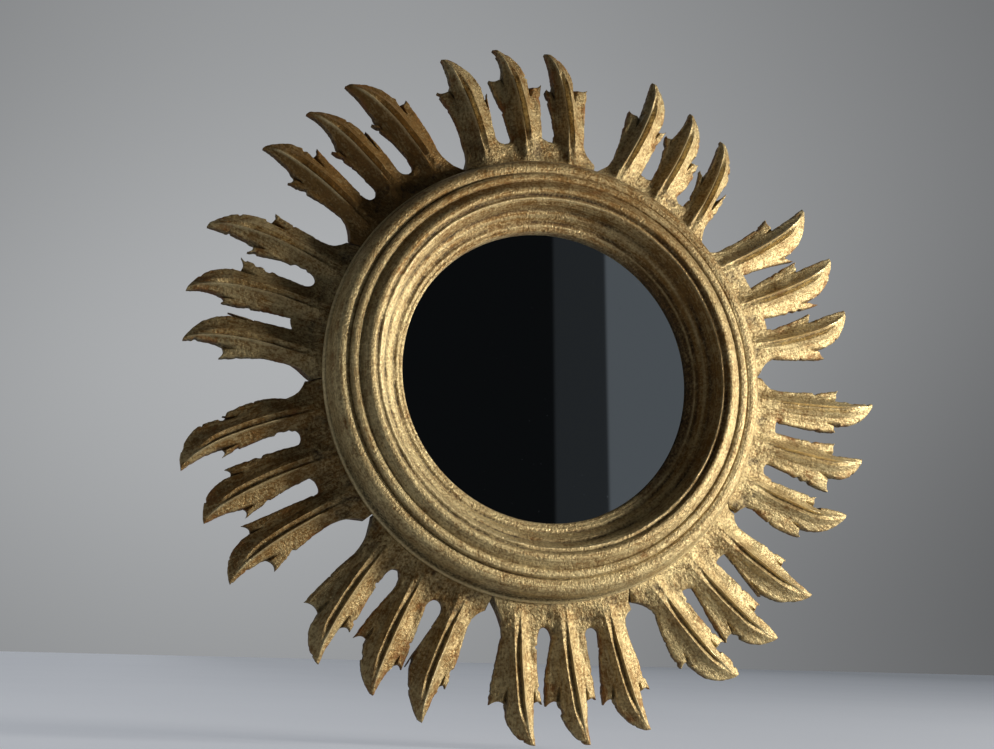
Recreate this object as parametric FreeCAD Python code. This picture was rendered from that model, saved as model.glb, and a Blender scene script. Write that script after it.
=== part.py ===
import FreeCAD, Part
import math
import os

# Carved giltwood sunburst mirror: a turned moulding ring holds a flat round mirror,
# and ten sawn and carved blocks of three leaf rays each are screwed behind the ring.
# Millimetres. X is right, Z is up, the front looks along -Y, and the wall is the plane Y = 0.
# "Depth" below means distance in front of the wall. Plan points are (x, z) seen from the front.

Vector = FreeCAD.Vector
os.makedirs("parts", exist_ok=True)
AXIS = Vector(0, 1, 0)
CENTRE = Vector(0, 0, 0)

# Moulding ring, from the sight edge out to the ridge and down to the outer edge
SIGHT_R = 107.5
INNER_SLOPE = 26.5
OUTER_SLOPE = 29.0
RING_EDGE = 4.0
RIDGE_RISE = 31.0
LIP_THICKNESS = 4.0
FILLET_RISE = 1.0

# Points of the outer side: share of the slope out from the ridge, share of the rise from the back
FILLET_SHARE = 0.93
OUTER_BEAD_HOLLOW = (0.82, 0.30)
OUTER_BEAD = (0.80, 0.47)
OUTER_BEAD_CROWN = (0.685, 0.65)
OUTER_QUIRK = (0.53, 0.61)
MIDDLE_BEAD = (0.51, 0.655)
MIDDLE_BEAD_CROWN = (0.38, 0.905)
MIDDLE_QUIRK = (0.23, 0.868)
RIDGE_FOOT = (0.18, 0.87)
RIDGE_CROWN = (0.0, 1.0)

# Points of the inner side: share of the slope in from the ridge, share of the rise from the lip
RIDGE_INNER = (0.20, 0.88)
ASTRAGAL = (0.22, 0.84)
ASTRAGAL_CROWN = (0.31, 0.80)
ASTRAGAL_FOOT = (0.38, 0.69)
HOLLOW_TOP = (0.41, 0.65)
HOLLOW_BED = (0.45, 0.45)
HOLLOW_FOOT = (0.55, 0.32)
COVE_TOP = (0.59, 0.28)
COVE_BED = (0.75, 0.12)
COVE_FOOT = (0.90, 0.06)
LIP_CROWN = (0.97, 0.04)
LIP = (1.0, -0.02)

# Mirror and its backing
REBATE_WIDTH = 5.5
REBATE_CLEARANCE = 0.6
MIRROR_THICKNESS = 3.0
BACKING_LAP = 8.0
BACKING_THICKNESS = 3.0

# Ray blocks
BLOCK_COUNT = 10
BLOCK_PHASE = -3.7
BLOCK_THICKNESS = 18.0
BLOCK_LAP = 33.0
BLOCK_JOINT = 1.0
SHOULDER = 7.0
SHOULDER_HOLLOW = 2.2
SEAT_MARGIN = 2.0

# Pattern of one leaf ray: across its own axis (clockwise is positive) and along it from the neck
NECK_STANDOFF = 23.5
RAY_ROOT_ANGLE = -0.6
RAY_LEAN = -0.6
NECK_HALF = 12.5
BARB_HALF = 17.5
BARB_REACH = 44.5
LOBE_HALF = 10.5
LEFT_NOTCH = -0.5
RIGHT_NOTCH = 2.0
TIP_REACH = 74.5
TIP_SWEEP = 14.0
TIP_FLAT = 3.0
TIP_SLOPE = 0.12
LEFT_EDGE_HOLLOW = 2.0
RIGHT_EDGE_HOLLOW = -1.0
LOBE_LEFT_HOLLOW = 1.5
LOBE_RIGHT_HOLLOW = -6.0
SLOT_WIDTH = 9.6
SLOT_FOOT = 19.5
BARB_GAP = 4.8
LEFT_PATTERN = (NECK_HALF, BARB_HALF, BARB_REACH, LOBE_HALF,
                LEFT_NOTCH, LEFT_EDGE_HOLLOW, LOBE_LEFT_HOLLOW)
RIGHT_PATTERN = (NECK_HALF, BARB_HALF, BARB_REACH, LOBE_HALF,
                 RIGHT_NOTCH, RIGHT_EDGE_HOLLOW, LOBE_RIGHT_HOLLOW)

# The carver's hand: what each ray adds to the pattern, clockwise from the left ray of the top block.
# First lean, reach, sweep and tip, then for the left and for the right side the neck, the barb, the
# barb's reach, the lobe, the notch and the hollows of the edge and of the lobe.
RAYS_BY_HAND = (
    (-4.5, -4, -2.5, 1.5, (1.5, 4, 0.5, 0.5, 0, 0, 0), (0, -1, -6.5, 3, 2, 2, 0)),
    (-2, 0, 1.5, 0, (-2, 4, 4.5, 0.5, -1.5, -1, 1), (2, 2.5, 1, -1, -0.5, 2, 0)),
    (-3, 0.5, 1.5, 2, (-1.5, -1, 0, -0.5, 0.5, 0, 0), (0.5, 1.5, 3.5, -3.5, -1.5, 2, 1.5)),
    (6, 1.5, 0.5, 0.5, (-3, 1, -2, -2.5, -1, -1.5, -1.5), (3, -2, 1, 0, 0.5, 2, 0)),
    (0.5, -5, -2, 0, (-3, 1, -4.5, 2.5, -1.5, 0, 0), (1.5, -2.5, -9.5, -0.5, -2, -1.5, 0)),
    (-6.5, -6, -0.5, 2.5, (-0.5, -2, -9.5, -0.5, 2.5, 0, 0), (-1.5, -5.5, -14, -2, 5, -0.5, 0)),
    (1, 5, 1.5, 0, (1.5, 2.5, 0, 0, -1.5, 0, -1), (-0.5, 1.5, 4.5, 3, 2, 2, 0)),
    (1.5, 4.5, 1, 0, (-1.5, 3, 4, 2.5, 1.5, -2.5, -2), (2, 0, 9.5, 2, 6, 0, 0)),
    (3, 0, 3, 2, (-1, 2, -1.5, 1.5, 1.5, 0, -2), (0, 1, 1.5, 0, 0.5, 0, 0)),
    (-3, 10, -2.5, 0, (-1, 0.5, 9.5, -1, 1, 0, 0), (1.5, -2, 7, -1, -2, 0, 0)),
    (0, 2.5, 0, 0.5, (0.5, 2, 7.5, -0.5, -0.5, 0, -1), (0.5, 1.5, 9, -3, 0, 0.5, 0)),
    (4.5, -1.5, 3, 0, (0, 0, 0, -1, -1.5, 0, -2.5), (3, -1, -1, 0, 0, -2.5, 0)),
    (-5, -1, -1.5, 0, (2, 2, -2.5, 2.5, -0.5, -1.5, 0), (-3, -2, -3.5, 3, 2, 0.5, 0)),
    (-3.5, -2, 0, -1, (3, 3, 1.5, 2.5, -1, -2, -2), (-0.5, 1, 2, -1, -1, 0, 0)),
    (-4.5, -1, 0, 0.5, (2.5, 2, 4, 0.5, 0, 0.5, -4), (-0.5, 1.5, -2, 1.5, -2, -1.5, -1)),
    (-3, 0, -0.5, 1, (0.5, 2, 3, 1.5, 0, -1, 0), (-2.5, -0.5, 5, -2, -0.5, 1, 2)),
    (-3, 0.5, -3.5, 0.5, (3, 1, 1, 1, 0, -2, 0), (-2.5, 1, 0.5, -1.5, -0.5, -1, 2)),
    (-3, -0.5, -0.5, 0, (2.5, 1, 2, 2, 1, 0, 0), (-1, 2, 1.5, -2.5, -1.5, 0, 0)),
    (0, -4, -2.5, 0.5, (0, -1, -0.5, 1.5, 0, -2.5, -0.5), (-3, -2, -2, 3.5, 8, 1, 1.5)),
    (-4.5, -5.5, -3.5, -0.5, (1.5, 2, 1, 3, 0.5, -2, 0), (-1, 2, -3, 1, 1, 0, 1)),
    (-2, -2, -0.5, -1, (0, 0, -1.5, 0, -1.5, -1, 0), (0.5, 2, 1.5, -3, -2, 0, 0)),
    (0.5, 4, 1.5, 0, (-2.5, 3.5, 4, 1, -1.5, 0, 0), (0.5, -1, 10.5, -1, 1, 1, 0)),
    (0, 1, -0.5, 0, (-3, 2.5, 4.5, 3, 1.5, -0.5, -0.5), (2, -1.5, 6, 0, 0, 0, 0)),
    (-0.5, 5, 3.5, 5, (-3, -2, 6.5, -0.5, 1.5, 0, 0), (1, -5.5, 0, -1, -2, -3, -2)),
    (7, -4, -0.5, -1.5, (-3, 1.5, -1, -0.5, 0, 0, 0), (3, -3, 2.5, 2.5, 4, 2, 0)),
    (3, 0, 2.5, -0.5, (-1.5, -0.5, 4.5, 2, -1.5, -2, 0), (1.5, 2, 2.5, -1, 0.5, 2, 0)),
    (6, 2, 1.5, 1, (-3, 0.5, -1, 0.5, 1.5, -0.5, -0.5), (2.5, 0, -4.5, -1, -2, 2, 0)),
    (0.5, 1, -0.5, -1, (-3, 1, 0, 1.5, -0.5, -1, 0), (1, -2, 5, -2, 0.5, 1.5, 0)),
    (0, -1, -0.5, 0, (-2.5, -0.5, -5, 2, 1, -1, 2), (0, -4.5, -7, 1, 3, 0, 0)),
    (-1.5, 2, 3.5, 0, (-2, 0, -3, 3, 0.5, 0, 0), (1, -1, 0.5, -1, -2, 0, 0)),
)
# What each block adds to the feet of its two slots and to its left and right shoulders
SLOTS_BY_HAND = (
    (-0.5, 3), (1, 0), (4.5, 5.5), (3.5, 0), (2.5, 2.5),
    (-0.5, -3.5), (-3.5, -6), (1, 0), (4.5, -3), (-2, -2),
)
SHOULDERS_BY_HAND = (
    (-4.5, 3.5), (-1.5, -6.5), (-1, 2.5), (4, 6.5), (5, 3),
    (8, -7), (3, -8), (-2, 4), (-0.5, 3), (1.5, -5),
)

# Carved relief of a ray
GROOVE_WIDTH = 4.8
GROOVE_DEPTH = 4.0
FLANK_HALF = 11.0
RELIEF_HALF = 24.0
TIP_CREST = 6.5
EDGE_THICKNESS = 5.0
BACK_MARGIN = 1.0

# V-cut that parts each barb from the lobe
CUT_LENGTH = 15.0
CUT_OVERRUN = 4.0
CUT_OFFSET = 1.2
CUT_FLOOR = 4.0
CUT_HEEL = 12.0

# Bevel that thins the edges of a slot from the back and fades out towards the barbs
BEVEL_WIDTH = 3.2
BEVEL_DEPTH = 6.0

# Stations along the relief: shares of the ray's run, of the tip's sweep, of the groove's depth,
# of the crest's fall to the tip, and of the block above the thin edge for the flank and the edge
ROOT_STATION = (-0.10, 0.0, 0.0, 0.98, 0.95)
RELIEF_STATIONS = (
    (-0.12, -0.10, 0.12, 0.0, 0.92, 0.86),
    (0.15, -0.09, 1.0, 0.0, 0.58, 0.36),
    (0.44, 0.0, 1.0, 0.10, 0.42, 0.15),
    (0.69, 0.19, 0.8, 0.32, 0.27, 0.04),
    (0.86, 0.48, 0.4, 0.60, 0.16, -0.03),
    (1.02, 0.89, 0.0, 1.0, 0.0, -0.08),
)

# Fasteners
SCREW_R = 2.0
SCREW_HEAD_R = 4.0
SCREW_LENGTH = 30.0
SCREW_SPREAD = 31.0
SCREW_INSET = 17.0
PIN_COUNT = 10
PIN_R = 0.7
PIN_HEAD_R = 1.8
PIN_HEAD = 0.8
PIN_LENGTH = 11.0
HOLE_CLEARANCE = 0.05

# Hanger in a pocket at the back of the top block
WIRE_R = 1.5
LOOP_CLEARANCE = 0.25
STRAP_THICKNESS = 1.2
STRAP_WIDTH = 12.0
STRAP_LENGTH = 27.0
STRAP_INSET = 1.5
EYE_HALF_WIDTH = 11.0
EYE_SIDE = 5.0
EYE_CORNER_R = 3.0
HANGER_SCREW_R = 1.4
HANGER_SCREW_HEAD_R = 2.8
HANGER_SCREW_HEAD = 1.7
HANGER_SCREW_LENGTH = 8.0
UPPER_SCREW_DROP = 7.5
LOWER_SCREW_RISE = 5.0
POCKET_CLEARANCE = 1.0
POCKET_FLOOR_GAP = 0.3

# Worked out from the sizes above
RIDGE_R = SIGHT_R + INNER_SLOPE
RING_OUTER_R = RIDGE_R + OUTER_SLOPE
RING_BACK = BLOCK_THICKNESS
ARRIS = RING_BACK + RING_EDGE
RIDGE = RING_BACK + RIDGE_RISE
MIRROR_FRONT = RING_BACK + MIRROR_THICKNESS
LIP_FRONT = MIRROR_FRONT + LIP_THICKNESS
REBATE_R = SIGHT_R + REBATE_WIDTH
BACKING_R = REBATE_R + BACKING_LAP
BLOCK_PITCH = 360.0 / BLOCK_COUNT
BLOCK_INNER_R = RING_OUTER_R - BLOCK_LAP
RAY_ROOT_R = RING_OUTER_R + NECK_STANDOFF
RELIEF_ROOT = NECK_STANDOFF + BLOCK_LAP / 5
NECK_STEP = 2 * NECK_HALF + SLOT_WIDTH
BARB_STEP = 2 * BARB_HALF + BARB_GAP
RAY_PITCH = 2 * math.degrees(math.asin(NECK_STEP / 2 / RAY_ROOT_R))
RAY_FAN = math.degrees(math.asin((BARB_STEP - NECK_STEP) / BARB_REACH))
LOOP_R = WIRE_R + LOOP_CLEARANCE + STRAP_THICKNESS
POCKET_DEPTH = 2 * LOOP_R + POCKET_FLOOR_GAP
HINGE_DEPTH = POCKET_DEPTH - LOOP_R
STRAP_FACE = POCKET_DEPTH - STRAP_THICKNESS
HANGER_Z = BLOCK_INNER_R + STRAP_INSET + STRAP_LENGTH


def at(x, z, depth):
    """A point given in plan, at a depth in front of the wall."""
    return Vector(x, -depth, z)


def polar(radius, degrees):
    """Plan point at a radius and a clockwise angle from the top."""
    angle = math.radians(degrees)
    return radius * math.sin(angle), radius * math.cos(angle)


def line(a, b):
    return Part.makeLine(a, b)


def arc(a, b, c):
    return Part.Arc(a, b, c).toShape()


def turned(shape, degrees):
    """A copy turned clockwise, seen from the front, round the mirror's axis."""
    copy = shape.copy()
    copy.rotate(CENTRE, AXIS, degrees)
    return copy


def rod(x, z, radius, depth, length):
    """A round rod from a depth towards the front."""
    return Part.makeCylinder(radius, length, at(x, z, depth), -AXIS)


def bulged(a, b, bulge):
    """Arc from plan point a to b whose middle stands off the chord, to the right of a to b."""
    if not bulge:
        return straight(a, b)
    run = (b[0] - a[0], b[1] - a[1])
    length = math.hypot(*run)
    middle = ((a[0] + b[0]) / 2 + bulge * run[1] / length, (a[1] + b[1]) / 2 - bulge * run[0] / length)
    return arc(at(*a, 0), at(*middle, 0), at(*b, 0))


def straight(a, b):
    return line(at(*a, 0), at(*b, 0))


def ring_profile():
    """Section of the moulding, from the outer arris over the beads and the ridge to the sight edge."""
    def point(radius, depth):
        return Vector(radius, -depth, 0)

    def outer(share, rise):
        """Point on the outer side: share of the slope from the ridge, share of the rise from the back."""
        return point(RIDGE_R + share * OUTER_SLOPE, RING_BACK + rise * RIDGE_RISE)

    def inner(share, rise):
        """Point on the inner side: share of the slope from the ridge, share of the rise from the lip."""
        return point(RIDGE_R - share * INNER_SLOPE, LIP_FRONT + rise * (RIDGE - LIP_FRONT))

    back_outer = point(RING_OUTER_R, RING_BACK)
    arris = point(RING_OUTER_R, ARRIS)
    fillet = point(RIDGE_R + FILLET_SHARE * OUTER_SLOPE, ARRIS + FILLET_RISE)
    outer_bead = outer(*OUTER_BEAD)
    outer_quirk = outer(*OUTER_QUIRK)
    middle_bead = outer(*MIDDLE_BEAD)
    middle_quirk = outer(*MIDDLE_QUIRK)
    ridge_foot = outer(*RIDGE_FOOT)
    ridge_inner = inner(*RIDGE_INNER)
    astragal = inner(*ASTRAGAL)
    astragal_foot = inner(*ASTRAGAL_FOOT)
    hollow_top = inner(*HOLLOW_TOP)
    hollow_foot = inner(*HOLLOW_FOOT)
    cove_top = inner(*COVE_TOP)
    cove_foot = inner(*COVE_FOOT)
    lip = inner(*LIP)
    seat_inner = point(SIGHT_R, MIRROR_FRONT)
    seat_outer = point(REBATE_R, MIRROR_FRONT)
    back_inner = point(REBATE_R, RING_BACK)
    return Part.Wire([
        line(back_inner, back_outer),
        line(back_outer, arris),
        line(arris, fillet),
        arc(fillet, outer(*OUTER_BEAD_HOLLOW), outer_bead),
        arc(outer_bead, outer(*OUTER_BEAD_CROWN), outer_quirk),
        line(outer_quirk, middle_bead),
        arc(middle_bead, outer(*MIDDLE_BEAD_CROWN), middle_quirk),
        line(middle_quirk, ridge_foot),
        arc(ridge_foot, outer(*RIDGE_CROWN), ridge_inner),
        line(ridge_inner, astragal),
        arc(astragal, inner(*ASTRAGAL_CROWN), astragal_foot),
        line(astragal_foot, hollow_top),
        arc(hollow_top, inner(*HOLLOW_BED), hollow_foot),
        line(hollow_foot, cove_top),
        arc(cove_top, inner(*COVE_BED), cove_foot),
        arc(cove_foot, inner(*LIP_CROWN), lip),
        line(lip, seat_inner),
        line(seat_inner, seat_outer),
        line(seat_outer, back_inner),
    ])


def moulding_ring():
    ring = Part.Face(ring_profile()).revolve(CENTRE, AXIS, 360)
    return ring.cut(Part.makeCompound(block_screws(HOLE_CLEARANCE) + pin_bores()))


class Side:
    """Sizes of one side of a ray: the pattern's, and what the carver's hand adds to them."""

    def __init__(self, pattern, by_hand):
        sizes = [size + change for size, change in zip(pattern, by_hand)]
        self.neck, self.barb, self.barb_reach, self.lobe, self.notch, self.hollow, self.lobe_hollow = sizes


class Ray:
    """Placement of one leaf ray in its block, seen from the front with the block pointing up."""

    def __init__(self, index, lean, reach, sweep, tip, left, right):
        self.root = polar(RAY_ROOT_R, RAY_ROOT_ANGLE + index * RAY_PITCH)
        self.lean = math.radians(RAY_LEAN + lean + index * RAY_FAN)
        self.reach = TIP_REACH + reach
        self.sweep = TIP_SWEEP + sweep
        self.tip = TIP_FLAT + tip
        self.left = Side(LEFT_PATTERN, left)
        self.right = Side(RIGHT_PATTERN, right)

    def plan(self, across, along):
        x = self.root[0] + across * math.cos(self.lean) + along * math.sin(self.lean)
        z = self.root[1] - across * math.sin(self.lean) + along * math.cos(self.lean)
        return x, z

    def left_neck(self):
        return self.plan(-self.left.neck, 0)

    def right_neck(self):
        return self.plan(self.right.neck, 0)

    def outline(self):
        """Edges from the left neck round both barbs and the swept tip to the right neck."""
        left, right = self.left, self.right
        left_barb = self.plan(-left.barb, left.barb_reach)
        left_notch = self.plan(-left.lobe, left.barb_reach - left.notch)
        tip = self.plan(-self.sweep, self.reach)
        tip_end = self.plan(self.tip - self.sweep, self.reach - TIP_SLOPE * self.tip)
        right_notch = self.plan(right.lobe, right.barb_reach - right.notch)
        right_barb = self.plan(right.barb, right.barb_reach)
        return [
            bulged(self.left_neck(), left_barb, left.hollow),
            straight(left_barb, left_notch),
            bulged(left_notch, tip, left.lobe_hollow),
            straight(tip, tip_end),
            bulged(tip_end, right_notch, right.lobe_hollow),
            straight(right_notch, right_barb),
            bulged(right_barb, self.right_neck(), right.hollow),
        ]

    def section(self, along, sweep, groove, fall, flank, edge):
        """Closed section of the relief: two crests beside a groove, and a flank on each side."""
        half = GROOVE_WIDTH / 2
        centre = -sweep * self.sweep
        crest = BLOCK_THICKNESS - fall * (BLOCK_THICKNESS - TIP_CREST)
        flank_depth = EDGE_THICKNESS + flank * (BLOCK_THICKNESS - EDGE_THICKNESS)
        edge_depth = EDGE_THICKNESS + edge * (BLOCK_THICKNESS - EDGE_THICKNESS)
        outline = [
            (-RELIEF_HALF, -BACK_MARGIN),
            (-RELIEF_HALF, edge_depth),
            (centre - FLANK_HALF, flank_depth),
            (centre - half, crest),
            (centre, crest - groove * GROOVE_DEPTH),
            (centre + half, crest),
            (centre + FLANK_HALF, flank_depth),
            (RELIEF_HALF, edge_depth),
            (RELIEF_HALF, -BACK_MARGIN),
        ]
        points = [at(*self.plan(across, along), depth) for across, depth in outline]
        return Part.makePolygon(points + points[:1])

    def relief(self):
        """Loft of the sections: the crests run out along the swept line and thin down to the tip."""
        sections = [self.section(-RELIEF_ROOT, *ROOT_STATION)]
        for share, *shape in RELIEF_STATIONS:
            sections.append(self.section(share * self.reach, *shape))
        return Part.makeLoft(sections, True, False)

    def barb_cut(self, side):
        """V-cut between a barb and the lobe: a wedge that opens upwards and runs out towards the root."""
        sizes = self.left if side < 0 else self.right
        notch = sizes.barb_reach - sizes.notch
        valley = side * (sizes.lobe + CUT_OFFSET)
        outside = side * (sizes.barb + CUT_OFFSET)
        inside = side * (sizes.lobe - CUT_OFFSET)
        top = BLOCK_THICKNESS + BACK_MARGIN
        end = max(notch, sizes.barb_reach) + CUT_OVERRUN
        foot = notch - CUT_LENGTH
        mouth = [(valley, end, CUT_FLOOR), (outside, end, top), (inside, end, top)]
        heel = [(valley, foot, CUT_HEEL), (valley + side * CUT_OFFSET, foot, top), (inside, foot, top)]
        wires = []
        for corners in (mouth, heel):
            points = [at(*self.plan(across, along), depth) for across, along, depth in corners]
            wires.append(Part.makePolygon(points + points[:1]))
        return Part.makeLoft(wires, True, True)


def block_side(radius, side):
    """Plan point on a side face of a block, half a joint inside the bisecting plane."""
    angle = math.radians(BLOCK_PITCH / 2)
    inset = BLOCK_JOINT / 2
    x = radius * math.sin(angle) - inset * math.cos(angle)
    z = radius * math.cos(angle) + inset * math.sin(angle)
    return side * x, z


def slot_foot(ray, following, slot):
    """Innermost point of the slot between two rays, by the distance that the slot adds to the pattern's."""
    a = ray.right_neck()
    b = following.left_neck()
    across = math.degrees(math.atan2(a[0] + b[0], a[1] + b[1]))
    return polar(RING_OUTER_R + SLOT_FOOT + slot, across)


def block_outline(rays, slots, shoulders):
    """Sawn outline of a block: inner arc, both joint faces, the rays and the slots between them."""
    inner_left = block_side(BLOCK_INNER_R, -1)
    inner_right = block_side(BLOCK_INNER_R, 1)
    left_shoulder = block_side(RING_OUTER_R + SHOULDER + shoulders[0], -1)
    right_shoulder = block_side(RING_OUTER_R + SHOULDER + shoulders[1], 1)
    edges = [straight(inner_left, left_shoulder)]
    edges.append(bulged(left_shoulder, rays[0].left_neck(), SHOULDER_HOLLOW))
    for ray, following, slot in zip(rays, rays[1:], slots):
        foot = slot_foot(ray, following, slot)
        edges += ray.outline()
        edges.append(arc(at(*ray.right_neck(), 0), at(*foot, 0), at(*following.left_neck(), 0)))
    edges += rays[-1].outline()
    edges.append(bulged(rays[-1].right_neck(), right_shoulder, SHOULDER_HOLLOW))
    edges.append(straight(right_shoulder, inner_right))
    edges.append(arc(at(*inner_right, 0), at(0, BLOCK_INNER_R, 0), at(*inner_left, 0)))
    return Part.Wire(edges)


def slot_bevel(ray, following, slot):
    """Cutter that widens a slot towards the wall: a loft of the slot's outline at two depths."""
    slope = BEVEL_WIDTH / BEVEL_DEPTH
    wires = []
    for depth in (BEVEL_DEPTH + BACK_MARGIN, -BACK_MARGIN):
        spread = slope * (BEVEL_DEPTH - depth)
        a, b = ray.right, following.left
        a_barb = ray.plan(a.barb + slope * BACK_MARGIN, a.barb_reach)
        b_barb = following.plan(-b.barb - slope * BACK_MARGIN, b.barb_reach)
        a_neck = ray.plan(a.neck - spread, 0)
        b_neck = following.plan(spread - b.neck, 0)
        foot = slot_foot(ray, following, slot - spread)
        wire = Part.Wire([
            bulged(a_barb, a_neck, a.hollow),
            arc(at(*a_neck, 0), at(*foot, 0), at(*b_neck, 0)),
            bulged(b_neck, b_barb, b.hollow),
            straight(b_barb, a_barb),
        ])
        wire.translate(at(0, 0, depth))
        wires.append(wire)
    return Part.makeLoft(wires, True, True)


def seat_block():
    """Flat seat of a block behind the ring, a little inside the ring's edge."""
    inner = BLOCK_INNER_R - SEAT_MARGIN
    outer = RING_OUTER_R - SEAT_MARGIN
    disc = Part.makeCylinder(outer, BLOCK_THICKNESS, CENTRE, -AXIS)
    return disc.cut(Part.makeCylinder(inner, BLOCK_THICKNESS, CENTRE, -AXIS))


def ray_block(number):
    """One block of three rays: the sawn outline cut to the carved relief, with cuts at the barbs."""
    by_hand = RAYS_BY_HAND[3 * number:3 * number + 3]
    rays = [Ray(index - 1, *changes) for index, changes in enumerate(by_hand)]
    slots = SLOTS_BY_HAND[number]
    outline = block_outline(rays, slots, SHOULDERS_BY_HAND[number])
    blank = Part.Face(outline).extrude(at(0, 0, BLOCK_THICKNESS))
    relief = seat_block().fuse([ray.relief() for ray in rays])
    carved = blank.common(relief)
    cuts = [ray.barb_cut(side) for ray in rays for side in (-1, 1)]
    cuts += [slot_bevel(*slot) for slot in zip(rays, rays[1:], slots)]
    holes = [countersunk(x, z, HOLE_CLEARANCE) for x, z in block_screw_places()]
    return carved.cut(cuts + holes).removeSplitter()


def block_angle(index):
    return BLOCK_PHASE + index * BLOCK_PITCH


def block_screw_places():
    """Two places in a block, set in from the outer edge of the ring in front of it."""
    return [(side * SCREW_SPREAD, RING_OUTER_R - SCREW_INSET) for side in (-1, 1)]


def countersunk(x, z, clearance):
    """A countersunk screw driven from the back, or its hole when it is given a clearance."""
    head_depth = SCREW_HEAD_R - SCREW_R
    head = Part.makeCone(SCREW_HEAD_R + clearance, SCREW_R + clearance, head_depth, at(x, z, 0), -AXIS)
    return head.fuse(rod(x, z, SCREW_R + clearance, 0, SCREW_LENGTH + clearance)).removeSplitter()


def block_screws(clearance):
    """The screws of all the blocks, or their holes when they are given a clearance."""
    pair = [countersunk(x, z, clearance) for x, z in block_screw_places()]
    return [turned(screw, block_angle(index)) for index in range(BLOCK_COUNT) for screw in pair]


def pin_places():
    """Places round the middle of the backing's lap on the ring."""
    radius = REBATE_R + BACKING_LAP / 2
    return [polar(radius, (index + 0.5) * 360.0 / PIN_COUNT) for index in range(PIN_COUNT)]


def backing_pins():
    back = RING_BACK - BACKING_THICKNESS
    pins = []
    for x, z in pin_places():
        head = rod(x, z, PIN_HEAD_R, back - PIN_HEAD, PIN_HEAD)
        pins.append(head.fuse(rod(x, z, PIN_R, back, PIN_LENGTH)))
    return pins


def pin_bores():
    back = RING_BACK - BACKING_THICKNESS
    length = PIN_LENGTH + HOLE_CLEARANCE
    return [rod(x, z, PIN_R + HOLE_CLEARANCE, back, length) for x, z in pin_places()]


def mirror_plate():
    return rod(0, 0, REBATE_R - REBATE_CLEARANCE, RING_BACK, MIRROR_THICKNESS)


def backing_board():
    board = rod(0, 0, BACKING_R, RING_BACK - BACKING_THICKNESS, BACKING_THICKNESS)
    return board.cut(pin_bores())


def hanger_pocket():
    """Pocket routed from the block's inner edge, round at the top, that lets the hanger lie flush."""
    half = EYE_HALF_WIDTH + WIRE_R + POCKET_CLEARANCE
    top = HANGER_Z + EYE_SIDE
    foot = BLOCK_INNER_R - SEAT_MARGIN
    slot = Part.makeBox(2 * half, POCKET_DEPTH, top - foot, at(-half, foot, POCKET_DEPTH))
    return slot.fuse(rod(0, top, half, 0, POCKET_DEPTH))


def hanger_strap():
    """Strap folded to a loop round the eye's bar, with two screw holes."""
    half = STRAP_WIDTH / 2
    side = at(-half, HANGER_Z, HINGE_DEPTH)
    across = Vector(1, 0, 0)
    foot = at(-half, HANGER_Z - STRAP_LENGTH, POCKET_DEPTH)
    plate = Part.makeBox(STRAP_WIDTH, STRAP_THICKNESS, STRAP_LENGTH, foot)
    loop = Part.makeCylinder(LOOP_R, STRAP_WIDTH, side, across)
    bore = Part.makeCylinder(LOOP_R - STRAP_THICKNESS, STRAP_WIDTH, side, across)
    return plate.fuse(loop).cut([bore] + hanger_screw_bores()).removeSplitter()


def hanger_screw_heights():
    return HANGER_Z - UPPER_SCREW_DROP, HANGER_Z - STRAP_LENGTH + LOWER_SCREW_RISE


def hanger_screws():
    """Flat round-head screws through the strap into the block."""
    screws = []
    for z in hanger_screw_heights():
        head = rod(0, z, HANGER_SCREW_HEAD_R, STRAP_FACE - HANGER_SCREW_HEAD, HANGER_SCREW_HEAD)
        screws.append(head.fuse(rod(0, z, HANGER_SCREW_R, STRAP_FACE, HANGER_SCREW_LENGTH)))
    return screws


def hanger_screw_bores():
    radius = HANGER_SCREW_R + HOLE_CLEARANCE
    length = HANGER_SCREW_LENGTH + HOLE_CLEARANCE
    return [rod(0, z, radius, STRAP_FACE, length) for z in hanger_screw_heights()]


def hanger_eye():
    """D-shaped eye of bent round wire: a bar in the strap's loop, bent corners, two sides and a bow."""
    def bend(side, z, centre, axis, degrees):
        """Wire that starts upright at a side and bends round a centre of the same height."""
        circle = Part.makeCircle(WIRE_R, at(side, z, HINGE_DEPTH), up)
        return Part.Face(Part.Wire(circle)).revolve(at(centre, z, HINGE_DEPTH), axis, degrees)

    across = Vector(1, 0, 0)
    up = Vector(0, 0, 1)
    foot = HANGER_Z - EYE_SIDE
    shoulder = HANGER_Z - EYE_CORNER_R
    half_bar = EYE_HALF_WIDTH - EYE_CORNER_R
    bar = Part.makeCylinder(WIRE_R, 2 * half_bar, at(-half_bar, HANGER_Z, HINGE_DEPTH), across)
    pieces = [bend(-EYE_HALF_WIDTH, foot, 0, -AXIS, 180)]
    for side in (-1, 1):
        x = side * EYE_HALF_WIDTH
        pieces.append(Part.makeCylinder(WIRE_R, shoulder - foot, at(x, foot, HINGE_DEPTH), up))
        pieces.append(bend(x, shoulder, side * half_bar, -side * AXIS, 90))
    return bar.fuse(pieces).removeSplitter()


def save(name, shape):
    shape.exportStep("parts/" + name + ".step")


save("moulding_ring", moulding_ring())
for number in range(BLOCK_COUNT):
    block = turned(ray_block(number), block_angle(number))
    if number == 0:
        block = block.cut([hanger_pocket()] + hanger_screw_bores())
    save("ray_block_%02d" % (number + 1), block)
save("mirror_plate", mirror_plate())
save("backing_board", backing_board())
save("backing_pins", Part.makeCompound(backing_pins()))
save("block_screws", Part.makeCompound(block_screws(0)))
save("hanger_strap", hanger_strap())
save("hanger_screws", Part.makeCompound(hanger_screws()))
save("hanger_eye", hanger_eye())
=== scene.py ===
import math

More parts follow.
